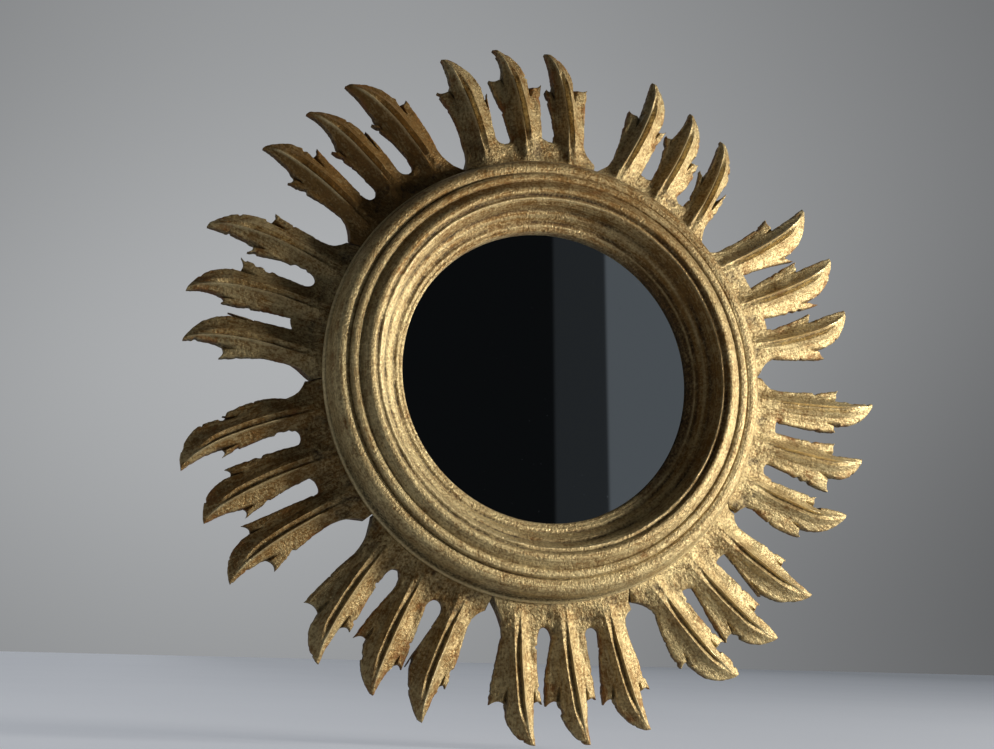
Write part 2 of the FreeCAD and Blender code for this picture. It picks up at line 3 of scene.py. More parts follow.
import bpy
import numpy as np
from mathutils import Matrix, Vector


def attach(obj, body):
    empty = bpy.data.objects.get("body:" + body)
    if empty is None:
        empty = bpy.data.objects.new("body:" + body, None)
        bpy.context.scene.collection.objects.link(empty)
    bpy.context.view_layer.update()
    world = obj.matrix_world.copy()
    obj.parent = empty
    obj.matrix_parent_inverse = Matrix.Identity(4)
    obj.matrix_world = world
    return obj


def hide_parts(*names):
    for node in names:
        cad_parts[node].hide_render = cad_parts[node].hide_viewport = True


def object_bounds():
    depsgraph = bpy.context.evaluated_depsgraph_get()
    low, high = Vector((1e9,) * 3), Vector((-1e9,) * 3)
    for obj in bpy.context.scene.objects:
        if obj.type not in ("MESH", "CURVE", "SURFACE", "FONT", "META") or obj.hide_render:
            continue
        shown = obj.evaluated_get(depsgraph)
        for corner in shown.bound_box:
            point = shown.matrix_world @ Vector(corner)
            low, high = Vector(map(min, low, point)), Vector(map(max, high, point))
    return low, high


bl_info = {
    "name": "Sunburst Mirror",
    "version": (1, 0, 0),
    "blender": (4, 5, 0),
    "location": "View3D > Sidebar > Sunburst",
    "description": "Carves, gilds and sets a giltwood sunburst mirror on its packed frame",
    "category": "Object",
}

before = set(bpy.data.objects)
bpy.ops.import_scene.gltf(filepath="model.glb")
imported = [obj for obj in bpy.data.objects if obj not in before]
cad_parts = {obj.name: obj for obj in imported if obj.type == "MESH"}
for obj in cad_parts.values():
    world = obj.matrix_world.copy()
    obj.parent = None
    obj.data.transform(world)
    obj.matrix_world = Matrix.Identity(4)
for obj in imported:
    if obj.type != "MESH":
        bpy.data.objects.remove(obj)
CAD_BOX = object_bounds()

MM = 0.001
BLOCK_NODES = sorted(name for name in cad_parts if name.startswith("ray_block"))

# Carved blocks, in millimetres and degrees, seen from the front with a block pointing up:
# u runs clockwise, v outwards, and depth is the distance in front of the wall.
BLOCK_PHASE = -3.7
BLOCK_PITCH = 36.0
BLOCK_THICKNESS = 18.0
BLOCK_INNER_R = 130.0
BLOCK_JOINT = 1.0
RING_OUTER_R = 163.0
SHOULDER = 7.0
SHOULDER_HOLLOW = 2.2
SLOT_FOOT = 19.5
RAY_ROOT_R = 186.5
RAY_PITCH = 10.645
RAY_FAN = 6.71
RAY_TURN = -0.6
TIP_REACH = 74.5
TIP_SWEEP = 14.0
TIP_FLAT = 3.0
TIP_SLOPE = 0.12
GROOVE_HALF = 2.5
GROOVE_DEPTH = 4.0
FLANK_HALF = 11.0
RELIEF_HALF = 24.0
TIP_CREST = 6.5
EDGE_THICKNESS = 5.0
BEVEL_DEPTH = 8.0
BARB_HOLLOW = 2.0
# Relief: the bead and the flute beside the groove, the groove's low line, the hollow flanks and stem,
# and the V-cuts that run up to the barbs
BEAD_RISE, BEAD_WIDTH = 0.7, 0.9
FLUTE_DEPTH, FLUTE_WIDTH, FLUTE_OFF = 0.4, 0.8, 3.6
GROOVE_LOW = -0.45
FLANK_HOLLOW = 3.0
STEM_HOLLOW = 2.0
CUT_START, CUT_RUN, CUT_DEPTH, CUT_SIDE = 17.0, 19.0, 15.0, 2.6
# Runs that the carving grid divides: seat, slot's foot, blade, lobe, barb, flank and groove
SEAT_RUN, FOOT_RUN, BLADE_RUN, LOBE_RUN = 22.0, 9.0, 46.0, 34.0
BARB_RUN, FLANK_RUN, GROOVE_RUN = 7.5, 9.0, 3.2
# Share of the seat that lies hidden under the ring and has few points
SEAT_UNDER_RING = 0.55
# The line between a ray's middle and its barb: where it starts, turns and passes the neck
INNER_ROOT_TURN = 2.6
INNER_FOOT = (8.0, -7.0)
INNER_NECK = 0.64
# Radii between which the carving of a block changes
BLEND_RADII = (184, 200)
VALLEY_RADII = (166, 176)
ROOT_RADII = (176, 192)
GROUND_RADII = (163, 168)
ROUND_RADII = (182, 200)
ROUND_START_RADII = (164, 168)
SEAT_RADII = (162, 172)
SWELL_RADII = (168, 180)
FREE_RADII = (172, 180)
BEVEL_RADII = (167, 177)
BEVEL_FADE_RADII = (196, 232)
# Rows of points down the sawn walls, as shares of their height
WALL_LEVELS = (1.0, 0.86, 0.55, 0.25, 0.0)
# Pocket for the hanger at the back of the top block: a slot with a round top; back points this near its
# outline are drawn to it, with its wall leaning this far in, and keep this share of their distance;
# and how far the backs lie below the screw heads
POCKET_HALF = 13.5
POCKET_TOP = 163.5
POCKET_DEPTH = 6.2
POCKET_NEAR = 1.2
POCKET_WALL = 0.3
POCKET_KEEP = 0.1
BACK_GAP = 0.08

# Pattern of the left and the right side of a ray: half widths at the neck and the barb, the barb's reach,
# the lobe's half width, the notch, and the hollows of the edge and of the lobe
LEFT_PATTERN = np.array((12.5, 17.5, 44.5, 10.5, -0.5, 2.0, 1.5))
RIGHT_PATTERN = np.array((12.5, 17.5, 44.5, 10.5, 2.0, -1.0, -6.0))

# The carver's unevenness: what each ray adds to the pattern, clockwise from the left ray of the top block.
# First lean, reach, sweep and tip, then the changes of the left and of the right side. These numbers, and
# those of the slots and shoulders, were not chosen by hand: they were fitted to the photograph's outline.
FITTED_RAYS = (
    (-4.5, -4, -2.5, 1.5, (1.5, 4, 0.5, 0.5, 0, 0, 0), (0, -1, -6.5, 3, 2, 2, 0)),
    (-2, 0, 1.5, 0, (-2, 4, 4.5, 0.5, -1.5, -1, 1), (2, 2.5, 1, -1, -0.5, 2, 0)),
    (-3, 0.5, 1.5, 2, (-1.5, -1, 0, -0.5, 0.5, 0, 0), (0.5, 1.5, 3.5, -3.5, -1.5, 2, 1.5)),
    (6, 1.5, 0.5, 0.5, (-3, 1, -2, -2.5, -1, -1.5, -1.5), (3, -2, 1, 0, 0.5, 2, 0)),
    (0.5, -5, -2, 0, (-3, 1, -4.5, 2.5, -1.5, 0, 0), (1.5, -2.5, -9.5, -0.5, -2, -1.5, 0)),
    (-6.5, -6, -0.5, 2.5, (-0.5, -2, -9.5, -0.5, 2.5, 0, 0), (-1.5, -5.5, -14, -2, 5, -0.5, 0)),
    (1, 5, 1.5, 0, (1.5, 2.5, 0, 0, -1.5, 0, -1), (-0.5, 1.5, 4.5, 3, 2, 2, 0)),
    (1.5, 4.5, 1, 0, (-1.5, 3, 4, 2.5, 1.5, -2.5, -2), (2, 0, 9.5, 2, 6, 0, 0)),
    (3, 0, 3, 2, (-1, 2, -1.5, 1.5, 1.5, 0, -2), (0, 1, 1.5, 0, 0.5, 0, 0)),
    (-3, 10, -2.5, 0, (-1, 0.5, 9.5, -1, 1, 0, 0), (1.5, -2, 7, -1, -2, 0, 0)),
    (0, 2.5, 0, 0.5, (0.5, 2, 7.5, -0.5, -0.5, 0, -1), (0.5, 1.5, 9, -3, 0, 0.5, 0)),
    (4.5, -1.5, 3, 0, (0, 0, 0, -1, -1.5, 0, -2.5), (3, -1, -1, 0, 0, -2.5, 0)),
    (-5, -1, -1.5, 0, (2, 2, -2.5, 2.5, -0.5, -1.5, 0), (-3, -2, -3.5, 3, 2, 0.5, 0)),
    (-3.5, -2, 0, -1, (3, 3, 1.5, 2.5, -1, -2, -2), (-0.5, 1, 2, -1, -1, 0, 0)),
    (-4.5, -1, 0, 0.5, (2.5, 2, 4, 0.5, 0, 0.5, -4), (-0.5, 1.5, -2, 1.5, -2, -1.5, -1)),
    (-3, 0, -0.5, 1, (0.5, 2, 3, 1.5, 0, -1, 0), (-2.5, -0.5, 5, -2, -0.5, 1, 2)),
    (-3, 0.5, -3.5, 0.5, (3, 1, 1, 1, 0, -2, 0), (-2.5, 1, 0.5, -1.5, -0.5, -1, 2)),
    (-3, -0.5, -0.5, 0, (2.5, 1, 2, 2, 1, 0, 0), (-1, 2, 1.5, -2.5, -1.5, 0, 0)),
    (0, -4, -2.5, 0.5, (0, -1, -0.5, 1.5, 0, -2.5, -0.5), (-3, -2, -2, 3.5, 8, 1, 1.5)),
    (-4.5, -5.5, -3.5, -0.5, (1.5, 2, 1, 3, 0.5, -2, 0), (-1, 2, -3, 1, 1, 0, 1)),
    (-2, -2, -0.5, -1, (0, 0, -1.5, 0, -1.5, -1, 0), (0.5, 2, 1.5, -3, -2, 0, 0)),
    (0.5, 4, 1.5, 0, (-2.5, 3.5, 4, 1, -1.5, 0, 0), (0.5, -1, 10.5, -1, 1, 1, 0)),
    (0, 1, -0.5, 0, (-3, 2.5, 4.5, 3, 1.5, -0.5, -0.5), (2, -1.5, 6, 0, 0, 0, 0)),
    (-0.5, 5, 3.5, 5, (-3, -2, 6.5, -0.5, 1.5, 0, 0), (1, -5.5, 0, -1, -2, -3, -2)),
    (7, -4, -0.5, -1.5, (-3, 1.5, -1, -0.5, 0, 0, 0), (3, -3, 2.5, 2.5, 4, 2, 0)),
    (3, 0, 2.5, -0.5, (-1.5, -0.5, 4.5, 2, -1.5, -2, 0), (1.5, 2, 2.5, -1, 0.5, 2, 0)),
    (6, 2, 1.5, 1, (-3, 0.5, -1, 0.5, 1.5, -0.5, -0.5), (2.5, 0, -4.5, -1, -2, 2, 0)),
    (0.5, 1, -0.5, -1, (-3, 1, 0, 1.5, -0.5, -1, 0), (1, -2, 5, -2, 0.5, 1.5, 0)),
    (0, -1, -0.5, 0, (-2.5, -0.5, -5, 2, 1, -1, 2), (0, -4.5, -7, 1, 3, 0, 0)),
    (-1.5, 2, 3.5, 0, (-2, 0, -3, 3, 0.5, 0, 0), (1, -1, 0.5, -1, -2, 0, 0)),
)
# What each block adds to the feet of its two slots and to its left and right shoulders
FITTED_SLOTS = (
    (-0.5, 3), (1, 0), (4.5, 5.5), (3.5, 0), (2.5, 2.5),
    (-0.5, -3.5), (-3.5, -6), (1, 0), (4.5, -3), (-2, -2),
)
FITTED_SHOULDERS = (
    (-4.5, 3.5), (-1.5, -6.5), (-1, 2.5), (4, 6.5), (5, 3),
    (8, -7), (3, -8), (-2, 4), (-0.5, 3), (1.5, -5),
)
# Brown toning that each block has all over, from 0 to 1: partly real toning and partly painted shade, darkest
# on the blocks to the left, which lie away from the window light on the right
BLOCK_TONE_AND_SHADE = (0.25, 0.10, 0.0, 0.0, 0.0, 0.12, 0.25, 0.45, 0.25, 0.75)

# Stations along a ray: share of its run, then shares of the tip's sweep, of the groove's depth,
# of the crest's fall, and of the block above the thin edge for the flank and the edge
STATIONS = np.array((
    (-0.41, -0.10, 0.0, 0.0, 0.88, 0.76),
    (-0.12, -0.10, 0.25, 0.0, 0.72, 0.50),
    (0.15, -0.09, 1.0, 0.0, 0.56, 0.34),
    (0.44, 0.0, 1.0, 0.10, 0.42, 0.15),
    (0.69, 0.19, 0.8, 0.32, 0.27, 0.04),
    (0.86, 0.48, 0.4, 0.60, 0.16, -0.03),
    (1.02, 0.89, 0.0, 1.0, 0.0, -0.08),
))

# Moulding profile, as (share of a slope from the ridge, share of a rise)
RIDGE_R = 134.0
OUTER_SLOPE = 29.0
INNER_SLOPE = 26.5
RING_BACK = 18.0
RIDGE_RISE = 31.0
LIP_FRONT = 25.0
SIGHT_R = 107.5
REBATE_R = 113.0
MIRROR_FRONT = 21.0
OUTER_PROFILE = (
    ((0.931, 0.1613), (0.8931, 0.2839), (0.8621, 0.4677)),
    ((0.8621, 0.4677), (0.8138, 0.6452), (0.7345, 0.7387)),
    ((0.7345, 0.7387), (0.6483, 0.771), (0.531, 0.7613)),
    ((0.531, 0.7613), (0.4862, 0.7484), (0.4586, 0.7258)),
    ((0.4483, 0.7355), (0.4414, 0.7968), (0.4103, 0.8323)),
    ((0.4103, 0.8323), (0.3448, 0.8484), (0.2655, 0.8387)),
    ((0.2655, 0.8387), (0.2414, 0.8226), (0.2276, 0.8065)),
    ((0.2172, 0.8), (0.1207, 0.8774), (0.0414, 0.9355)),
)
INNER_PROFILE = (
    ((0.22, 0.84), (0.31, 0.80), (0.38, 0.69)),
    ((0.41, 0.65), (0.45, 0.45), (0.55, 0.32)),
    ((0.59, 0.28), (0.75, 0.12), (0.90, 0.06)),
    ((0.90, 0.06), (0.97, 0.04), (1.0, -0.02)),
)
# The ridge between them: two points on the outer slope and one on the inner
RIDGE_OUTER = ((0.0414, 0.9355), (-0.0138, 0.955))
RIDGE_INNER = (0.20, 0.85)
OUTER_POINTS, RIDGE_POINTS, INNER_POINTS = 10, 26, 16
QUIRK_WIDTH = 1.1
# Lines that the turner cut in the cove, and the arrises left between them, as radii
COVE_GROOVES = np.array((114.3, 121.5, 129.2))
COVE_ARRISES = np.array((111.8, 118.0, 126.5))
COVE_GROOVE_DEPTH, COVE_GROOVE_WIDTH = 1.2, 1.1
COVE_ARRIS_RISE, COVE_ARRIS_WIDTH = 0.5, 0.8
# Middle of the green-black patina on the rim, in degrees clockwise from the top
PATINA_ANGLE = 205

# Stage, in metres and watts
CAMERA_PLACE = (-0.2696, -0.9002, -0.2038)
CAMERA_LOOK = (0.2487, 0.9439, 0.2173)
CAMERA_LENS, CAMERA_SENSOR = 47.08, 36.0
# name, place, target, size, power and colour of each lamp
LAMPS = (
    ("window_light", (1.85, -0.96, 0.06), (0.0, -0.03, 0.0), (0.5, 0.5), 50.0, "#FFFAF2"),
    ("wall_light", (-1.3, 0.10, 0.1), (0.0, -0.02, 0.0), (0.15, 1.0), 1.0, "#F2F4F6"),
)
TABLE_HALF, TABLE_LINES, TABLE_GAP = 9.0, 11, 0.003
TABLE_FALL = (-0.0228, 0.0129)
# The wall's palest direction, its slant and level, and its glow; the room's bearings and dimness
WALL_PALEST, WALL_SLANT, WALL_LEVEL, WALL_GLOW = 0.1, -0.15, 0.22, 0.3
NEAR_PANEL, FAR_PANEL, PANELS_END = (-0.314, -0.311), (-0.360, -0.357), (-0.8, -0.5)
ROOM_DIM = 0.006


def linear(hex_text):
    """Linear RGBA of an sRGB hex value: c/12.92 in the toe, ((c+0.055)/1.055)^2.4 above it."""
    srgb = np.array([int(hex_text[i:i + 2], 16) for i in (1, 3, 5)]) / 255
    rgb = np.where(srgb <= 0.04045, srgb / 12.92, ((srgb + 0.055) / 1.055) ** 2.4)
    return (*rgb.tolist(), 1.0)


def add(tree, kind, inputs=(), **settings):
    """Adds a shader node, sets its settings, and links or fills its inputs.

    Inputs are a dict by name or number, or a tuple in the order of the sockets. A node among them is
    linked from its first output in use.
    """
    made = tree.nodes.new("ShaderNode" + kind)
    for name, value in settings.items():
        setattr(made, name, value)
    for name, value in inputs.items() if isinstance(inputs, dict) else enumerate(inputs):
        if isinstance(value, bpy.types.Node):
            value = next(socket for socket in value.outputs if socket.enabled)
        if isinstance(value, bpy.types.NodeSocket):
            tree.links.new(value, made.inputs[name])
        else:
            made.inputs[name].default_value = value
    return made


def new_material(name):
    """A material without nodes yet, and its tree."""
    material = bpy.data.materials.new(name)
    material.use_nodes = True
    material.node_tree.nodes.clear()
    return material, material.node_tree


class SunburstFinish(bpy.types.PropertyGroup):
    """Colours of the finish"""

    gold_light: bpy.props.FloatVectorProperty(
        name="Gold leaf", description="Colour of the sound gold leaf", subtype="COLOR", size=4,
        min=0, max=1, default=linear("#E0CC98"))
    # lighter than the sound leaf, so on the crests and arrises it paints a highlight as well as burnish
    gold_bright: bpy.props.FloatVectorProperty(
        name="Burnished gold", description="Colour of the leaf where crests were burnished", subtype="COLOR",
        size=4, min=0, max=1, default=linear("#F0DCA8"))
    # this colour also paints shade on the blocks to the left and on the ring's right cove
    gold_dark: bpy.props.FloatVectorProperty(
        name="Toned gold", description="Colour of the leaf under its brown toning", subtype="COLOR", size=4,
        min=0, max=1, default=linear("#94703C"))
    bole: bpy.props.FloatVectorProperty(
        name="Bole", description="Red clay that shows where the leaf has worn away", subtype="COLOR", size=4,
        min=0, max=1, default=linear("#96602F"))
    # the dirt colour also paints the lip's shadow on the ring's rim
    dirt: bpy.props.FloatVectorProperty(
        name="Dirt", description="Brown glaze and dirt in the hollows", subtype="COLOR", size=4,
        min=0, max=1, default=linear("#2C1E10"))
    bare_wood: bpy.props.FloatVectorProperty(
        name="Bare wood", description="Sawn wood at the back", subtype="COLOR", size=4,
        min=0, max=1, default=linear("#8A6240"))
    silver: bpy.props.FloatVectorProperty(
        name="Silvering", description="Reflection of the silvered glass", subtype="COLOR", size=4,
        min=0, max=1, default=linear("#D3D8DA"))


class SunburstSizes(bpy.types.PropertyGroup):
    """Fineness of the surfaces and height of the tool marks"""

    grid: bpy.props.FloatProperty(
        name="Carving grid", description="Distance between points of the carved surface", unit="LENGTH",
        default=0.8 * MM, min=0.4 * MM, max=3 * MM)
    gouge: bpy.props.FloatProperty(
        name="Gouge marks", description="Height of the marks that the gouge left", unit="LENGTH",
        default=0.22 * MM, min=0, max=1 * MM)
    ring_segments: bpy.props.IntProperty(
        name="Ring segments", description="Steps of the turned ring round its axis",
        default=400, min=64, max=480)


def lattice_noise(x, y, size, seed):
    """Smooth noise from -1 to 1: random values on a square lattice, eased by 3t^2 - 2t^3 between corners."""
    table = np.random.default_rng(seed).uniform(-1, 1, (256, 256))
    i, j = np.floor(x / size).astype(int), np.floor(y / size).astype(int)
    s, t = x / size - i, y / size - j
    s, t = s * s * (3 - 2 * s), t * t * (3 - 2 * t)
    low = table[i % 256, j % 256] * (1 - s) + table[(i + 1) % 256, j % 256] * s
    high = table[i % 256, (j + 1) % 256] * (1 - s) + table[(i + 1) % 256, (j + 1) % 256] * s
    return low * (1 - t) + high * t


def ease(x, low, high):
    """Smooth step from 0 at low to 1 at high: 3t^2 - 2t^3."""
    t = np.clip((x - low) / (high - low), 0, 1)
    return t * t * (3 - 2 * t)


def stationed(share, column):
    """Cubic Hermite curve through one column of the stations, with slopes from their neighbours."""
    x, y = STATIONS[:, 0], STATIONS[:, column]
    slope = np.gradient(y, x)
    s = np.clip(share, x[0], x[-1])
    i = np.clip(np.searchsorted(x, s) - 1, 0, len(x) - 2)
    step = x[i + 1] - x[i]
    t = (s - x[i]) / step
    return ((2 * t ** 3 - 3 * t ** 2 + 1) * y[i] + (t ** 3 - 2 * t ** 2 + t) * step * slope[i]
            + (3 * t ** 2 - 2 * t ** 3) * y[i + 1] + (t ** 3 - t ** 2) * step * slope[i + 1])


def polar(radius, degrees):
    """Plan points (u, v) at radii and clockwise angles from the top."""
    angle = np.radians(degrees)
    return np.stack(np.broadcast_arrays(radius * np.sin(angle), radius * np.cos(angle)), -1)


def turned(points, degrees):
    """Plan points turned clockwise: (u cos + v sin, v cos - u sin)."""
    angle = math.radians(degrees)
    u, v = points[:, 0], points[:, 1]
    return np.column_stack((u * math.cos(angle) + v * math.sin(angle),
                            v * math.cos(angle) - u * math.sin(angle)))


def straight(a, b, t):
    """Points a + t (b - a)."""
    a, b = np.asarray(a), np.asarray(b)
    return a + np.asarray(t)[..., None] * (b - a)


def bowed(a, b, bulge, t):
    """Chord a to b plus 4 t (1 - t) times the bulge along its right-hand normal."""
    run = np.asarray(b) - np.asarray(a)
    normal = np.array((run[1], -run[0])) / np.hypot(*run)
    return straight(a, b, t) + (4 * bulge * t * (1 - t))[:, None] * normal


def arc_points(a, b, c, count):
    """Points on the circle through a, b and c, from a by way of b to c, at equal angles."""
    a, b, c = (np.asarray(p, float) for p in (a, b, c))
    chords = 2 * np.array((b - a, c - a))
    centre = np.linalg.solve(chords, np.array((b @ b - a @ a, c @ c - a @ a)))
    start, middle, end = (np.arctan2(*(p - centre)[::-1]) for p in (a, b, c))
    middle, end = (start + (angle - start) % (2 * np.pi) for angle in (middle, end))
    end = end if middle < end else end - 2 * np.pi
    angle = np.linspace(start, end, count)
    radius = np.hypot(*(a - centre))
    return centre + radius * np.stack((np.cos(angle), np.sin(angle)), -1)


class Ray:
    """Place of one leaf ray in its block; across is clockwise and along runs from the neck to the tip."""

    def __init__(self, block, index):
        lean, reach, sweep, tip, left, right = FITTED_RAYS[3 * block + index + 1]
        self.root = polar(RAY_ROOT_R, RAY_TURN + index * RAY_PITCH)
        self.lean = math.radians(RAY_TURN + lean + index * RAY_FAN)
        self.up = np.array((math.sin(self.lean), math.cos(self.lean)))
        self.reach = TIP_REACH + reach
        self.sweep = TIP_SWEEP + sweep
        self.tip = TIP_FLAT + tip
        self.sides = {-1: LEFT_PATTERN + left, 1: RIGHT_PATTERN + right}

    def plan(self, across, along):
        """Root + across (cos, -sin) + along (sin, cos) of the lean."""
        across, along = np.broadcast_arrays(np.asarray(across, float), np.asarray(along, float))
        turn = np.array((math.cos(self.lean), -math.sin(self.lean)))
        return self.root + across[..., None] * turn + along[..., None] * self.up

    def local(self, points):
        """Across and along of plan points."""
        off = points - self.root
        across = off[..., 0] * math.cos(self.lean) - off[..., 1] * math.sin(self.lean)
        along = off[..., 0] * math.sin(self.lean) + off[..., 1] * math.cos(self.lean)
        return across, along

    def centre(self, along):
        """Across of the groove's line, which follows the sweep."""
        return -self.sweep * stationed(along / self.reach, 1)

    def groove_half(self, along):
        """Half width of the groove, which closes towards the tip."""
        return GROOVE_HALF * (1 - 0.7 * ease(along / self.reach, 0.6, 1.0))

    def relief(self, across, along):
        """Depth of the carved face: crests beside a groove, hollow flanks, V-cuts at the barbs.

        From the crests beside the groove, of which the left one stands up as a thin bead, the face falls
        in a hollow curve to the flank and on in a line to the edge, and further on the left of the stem; the
        groove is a V under the crests; each barb cut is the higher of two planes that meet in a valley, and
        the face is the lower of itself and the cuts.
        Also returns how deep a point lies in a groove or cut, and how near a crest it is, from 0 to 1.
        """
        share = along / self.reach
        right = across - self.centre(along)
        off = np.abs(right)
        half = self.groove_half(along)
        above = BLOCK_THICKNESS - EDGE_THICKNESS
        crest = BLOCK_THICKNESS - stationed(share, 3) * (BLOCK_THICKNESS - TIP_CREST)
        flank = EDGE_THICKNESS + above * stationed(share, 4)
        edge = EDGE_THICKNESS + above * stationed(share, 5)
        blade = ease(share, 0.0, 0.2) * (1 - ease(share, 0.8, 1.0))
        groove = GROOVE_DEPTH * 0.8 * stationed(share, 2) * (1 - ease(share, 0.6, 0.85))
        out = np.clip((off - half) / (FLANK_HALF - half), 0, None)
        inner = crest + (flank - crest) * out - FLANK_HOLLOW * out * (1 - out) * ease(share, -0.1, 0.25)
        outer = flank + (edge - flank) * (off - FLANK_HALF) / (RELIEF_HALF - FLANK_HALF)
        face = np.where(out < 1, inner, outer)
        bead = np.exp(-((right + half) / BEAD_WIDTH) ** 2)
        flute = np.exp(-((right - half - FLUTE_OFF) / FLUTE_WIDTH) ** 2)
        low = GROOVE_LOW * half
        vee = np.clip(np.minimum((right + half) / (low + half), (half - right) / (half - low)), 0, 1)
        stem = ease(-right, 1.5, 9) * ease(share, -0.38, -0.15) * (1 - ease(share, 0.1, 0.35))
        face = face - groove * vee + blade * (BEAD_RISE * bead - FLUTE_DEPTH * flute) - STEM_HOLLOW * stem
        hollow = np.maximum(ease(vee, 0.7, 1.0) * ease(groove, 0.2, 2.0), 0.3 * flute * blade)
        for side in (-1, 1):
            _, barb, reach, lobe, notch, _, _ = self.sides[side]
            x = side * across
            t = np.clip((along - (reach - notch - CUT_START)) / CUT_RUN, 0, 1)
            valley = lobe - 0.8 + 1.0 * t
            floor = BLOCK_THICKNESS - CUT_DEPTH * t ** 0.6
            outside = valley + 1.2 + (barb - lobe - 0.5) * t
            rise = np.maximum((x - valley) / (outside - valley), (valley - x) / CUT_SIDE)
            cut = np.where((x > 0) & (t > 0) & (along < max(reach, reach - notch) + 3),
                           floor + (BLOCK_THICKNESS - floor) * rise, 99)
            hollow = np.maximum(hollow, 0.8 * ease(face - cut, 0.2, 2.5))
            face = np.minimum(face, cut)
        return face, hollow, bead * blade


def block_side(radius, side):
    """Plan point on a side face of a block, half a joint inside the bisecting plane."""
    angle = math.radians(BLOCK_PITCH / 2)
    inset = BLOCK_JOINT / 2
    return np.array((side * (radius * math.sin(angle) - inset * math.cos(angle)),
                     radius * math.cos(angle) + inset * math.sin(angle)))


def worn(line, inside, share):
    """An edge line moved towards the inside by fine unevenness and by scattered chips, times a share."""
    u, v = line.T + 300
    towards = inside - line
    towards /= np.maximum(np.hypot(*towards.T), 1e-6)[:, None]
    fine = 0.22 * lattice_noise(u, v, 1.3, 31) + 0.3 * lattice_noise(u, v, 3.6, 35)
    chips = 1.5 * ease(lattice_noise(u, v, 4.2, 33), 0.5, 0.85)
    return line + ((fine + chips) * share)[:, None] * towards


def block_lanes(block, grid):
    """Plan grids of a block: each ray has a lane along its middle out to the tip, and one along each barb.

    Four lines run along a ray, the outer edges and the feet of the barbs. Each is a path through the seat,
    the slot's foot and the ray, and a lane's rows are chords between two of them at equal steps. With each
    lane goes the distance of its points from the sawn edge.
    """
    rays = [Ray(block, index) for index in (-1, 0, 1)]
    slots = FITTED_SLOTS[block]
    shoulders = dict(zip((-1, 1), FITTED_SHOULDERS[block]))
    seat = np.concatenate((np.linspace(0, SEAT_UNDER_RING, 6)[:-1],
                           np.linspace(SEAT_UNDER_RING, 1, int(SEAT_RUN / grid) + 1)))
    foot = np.linspace(0, 1, int(FOOT_RUN / grid) + 1)[1:]
    blade = np.linspace(0, 1, int(BLADE_RUN / grid) + 1)[1:]
    lobe = np.linspace(0, 1, int(LOBE_RUN / grid) + 1)
    barb_share = np.linspace(0, 1, int(BARB_RUN / grid) + 1)
    turn = foot * math.pi / 2
    lanes, insets = [], []
    for number, ray in enumerate(rays):
        lines = {}
        for side in (-1, 1):
            neck_half, barb, reach, lobe_half, notch, hollow, _ = ray.sides[side]
            other = number + side
            neck = ray.plan(side * neck_half, 0)
            if 0 <= other < len(rays):
                across = rays[other].plan(-side * rays[other].sides[-side][0], 0)
                middle = (neck + across) / 2
                angle = math.degrees(math.atan2(*middle))
                end = polar(RING_OUTER_R + SLOT_FOOT + slots[min(number, other)], angle)
                root = straight(polar(BLOCK_INNER_R, angle), end, seat)
                bend = (middle + np.sin(turn)[:, None] * (neck - middle)
                        + np.cos(turn)[:, None] * (end - middle))
            else:
                end = block_side(RING_OUTER_R + SHOULDER + shoulders[side], side)
                root = straight(block_side(BLOCK_INNER_R, side), end, seat)
                bend = bowed(end, neck, -side * SHOULDER_HOLLOW, foot)
            edge = bowed(neck, ray.plan(side * barb, reach), -side * hollow, blade)
            inner_neck = ray.plan(side * INNER_NECK * neck_half, 0)
            inner_foot = ray.plan(side * INNER_FOOT[0], INNER_FOOT[1])
            inner_root = polar(BLOCK_INNER_R, RAY_TURN + (number - 1) * RAY_PITCH + side * INNER_ROOT_TURN)
            notch_point = ray.plan(side * lobe_half, reach - notch)
            inner = np.concatenate((straight(inner_root, inner_foot, seat),
                                    straight(inner_foot, inner_neck, foot),
                                    straight(inner_neck, notch_point, blade)))
            wear = np.concatenate((np.zeros(len(seat)), 0.8 * np.sin(turn), np.ones(len(blade))))
            lines[side] = worn(np.concatenate((root, bend, edge)), inner, wear)
            lines[2 * side] = inner
        fade = np.concatenate((np.zeros(len(seat) + len(foot)), ease(blade, 0.78, 1.0)))
        tip = ray.plan(-ray.sweep, ray.reach)
        tip_end = ray.plan(ray.tip - ray.sweep, ray.reach - TIP_SLOPE * ray.tip)
        left = bowed(lines[-2][-1], tip, ray.sides[-1][-1], lobe)
        right = bowed(lines[2][-1], tip_end, -ray.sides[1][-1], lobe)
        wear = ease(lobe, 0, 0.1) * (1 - 0.7 * ease(lobe, 0.85, 1))
        left, right = worn(left, right, wear), worn(right, left, wear)
        left = np.concatenate((lines[-2], left[1:]))
        right = np.concatenate((lines[2], right[1:]))
        for side in (-1, 1):
            width = np.hypot(*(lines[2 * side] - lines[side]).T)
            end = np.hypot(*(lines[side] - lines[side][-1]).T)
            lane = straight(lines[side][:, None], lines[2 * side][:, None], barb_share[None])
            scoop = BARB_HOLLOW * 4 * (barb_share * (1 - barb_share))[None] * fade[:, None]
            lanes.append(lane - scoop[..., None] * ray.up)
            inset = barb_share[None] * width[:, None]
            if 0 <= number + side < len(rays):
                slot_end = np.hypot(*(lines[side] - lines[side][len(seat) - 1]).T)
                slot_end[len(seat):] = 0
                inset = np.hypot(inset, slot_end[:, None])
            insets.append(np.minimum(inset, end[:, None]))
        lane = middle_lane(ray, left, right, grid)
        from_sides = np.minimum(*(np.hypot(*(lane - line[:, None]).transpose(2, 0, 1))
                                  for line in (left, right)))
        from_tip = np.hypot(*(lane - lane[-1:]).transpose(2, 0, 1))
        # beside the barb lanes the middle lane has no sawn edge, so its points there count as far inside
        free = np.arange(len(left)) - len(lines[2])
        from_sides += FLANK_RUN * (1 - ease(free, 0, 5))[:, None]
        lanes.append(lane)
        insets.append(np.minimum(from_sides, from_tip))
    # the right-hand barb lanes run inwards, so their columns are turned round to keep the faces outward
    for index in range(1, len(lanes), 3):
        lanes[index], insets[index] = lanes[index][:, ::-1], insets[index][:, ::-1]
    return rays, lanes, insets


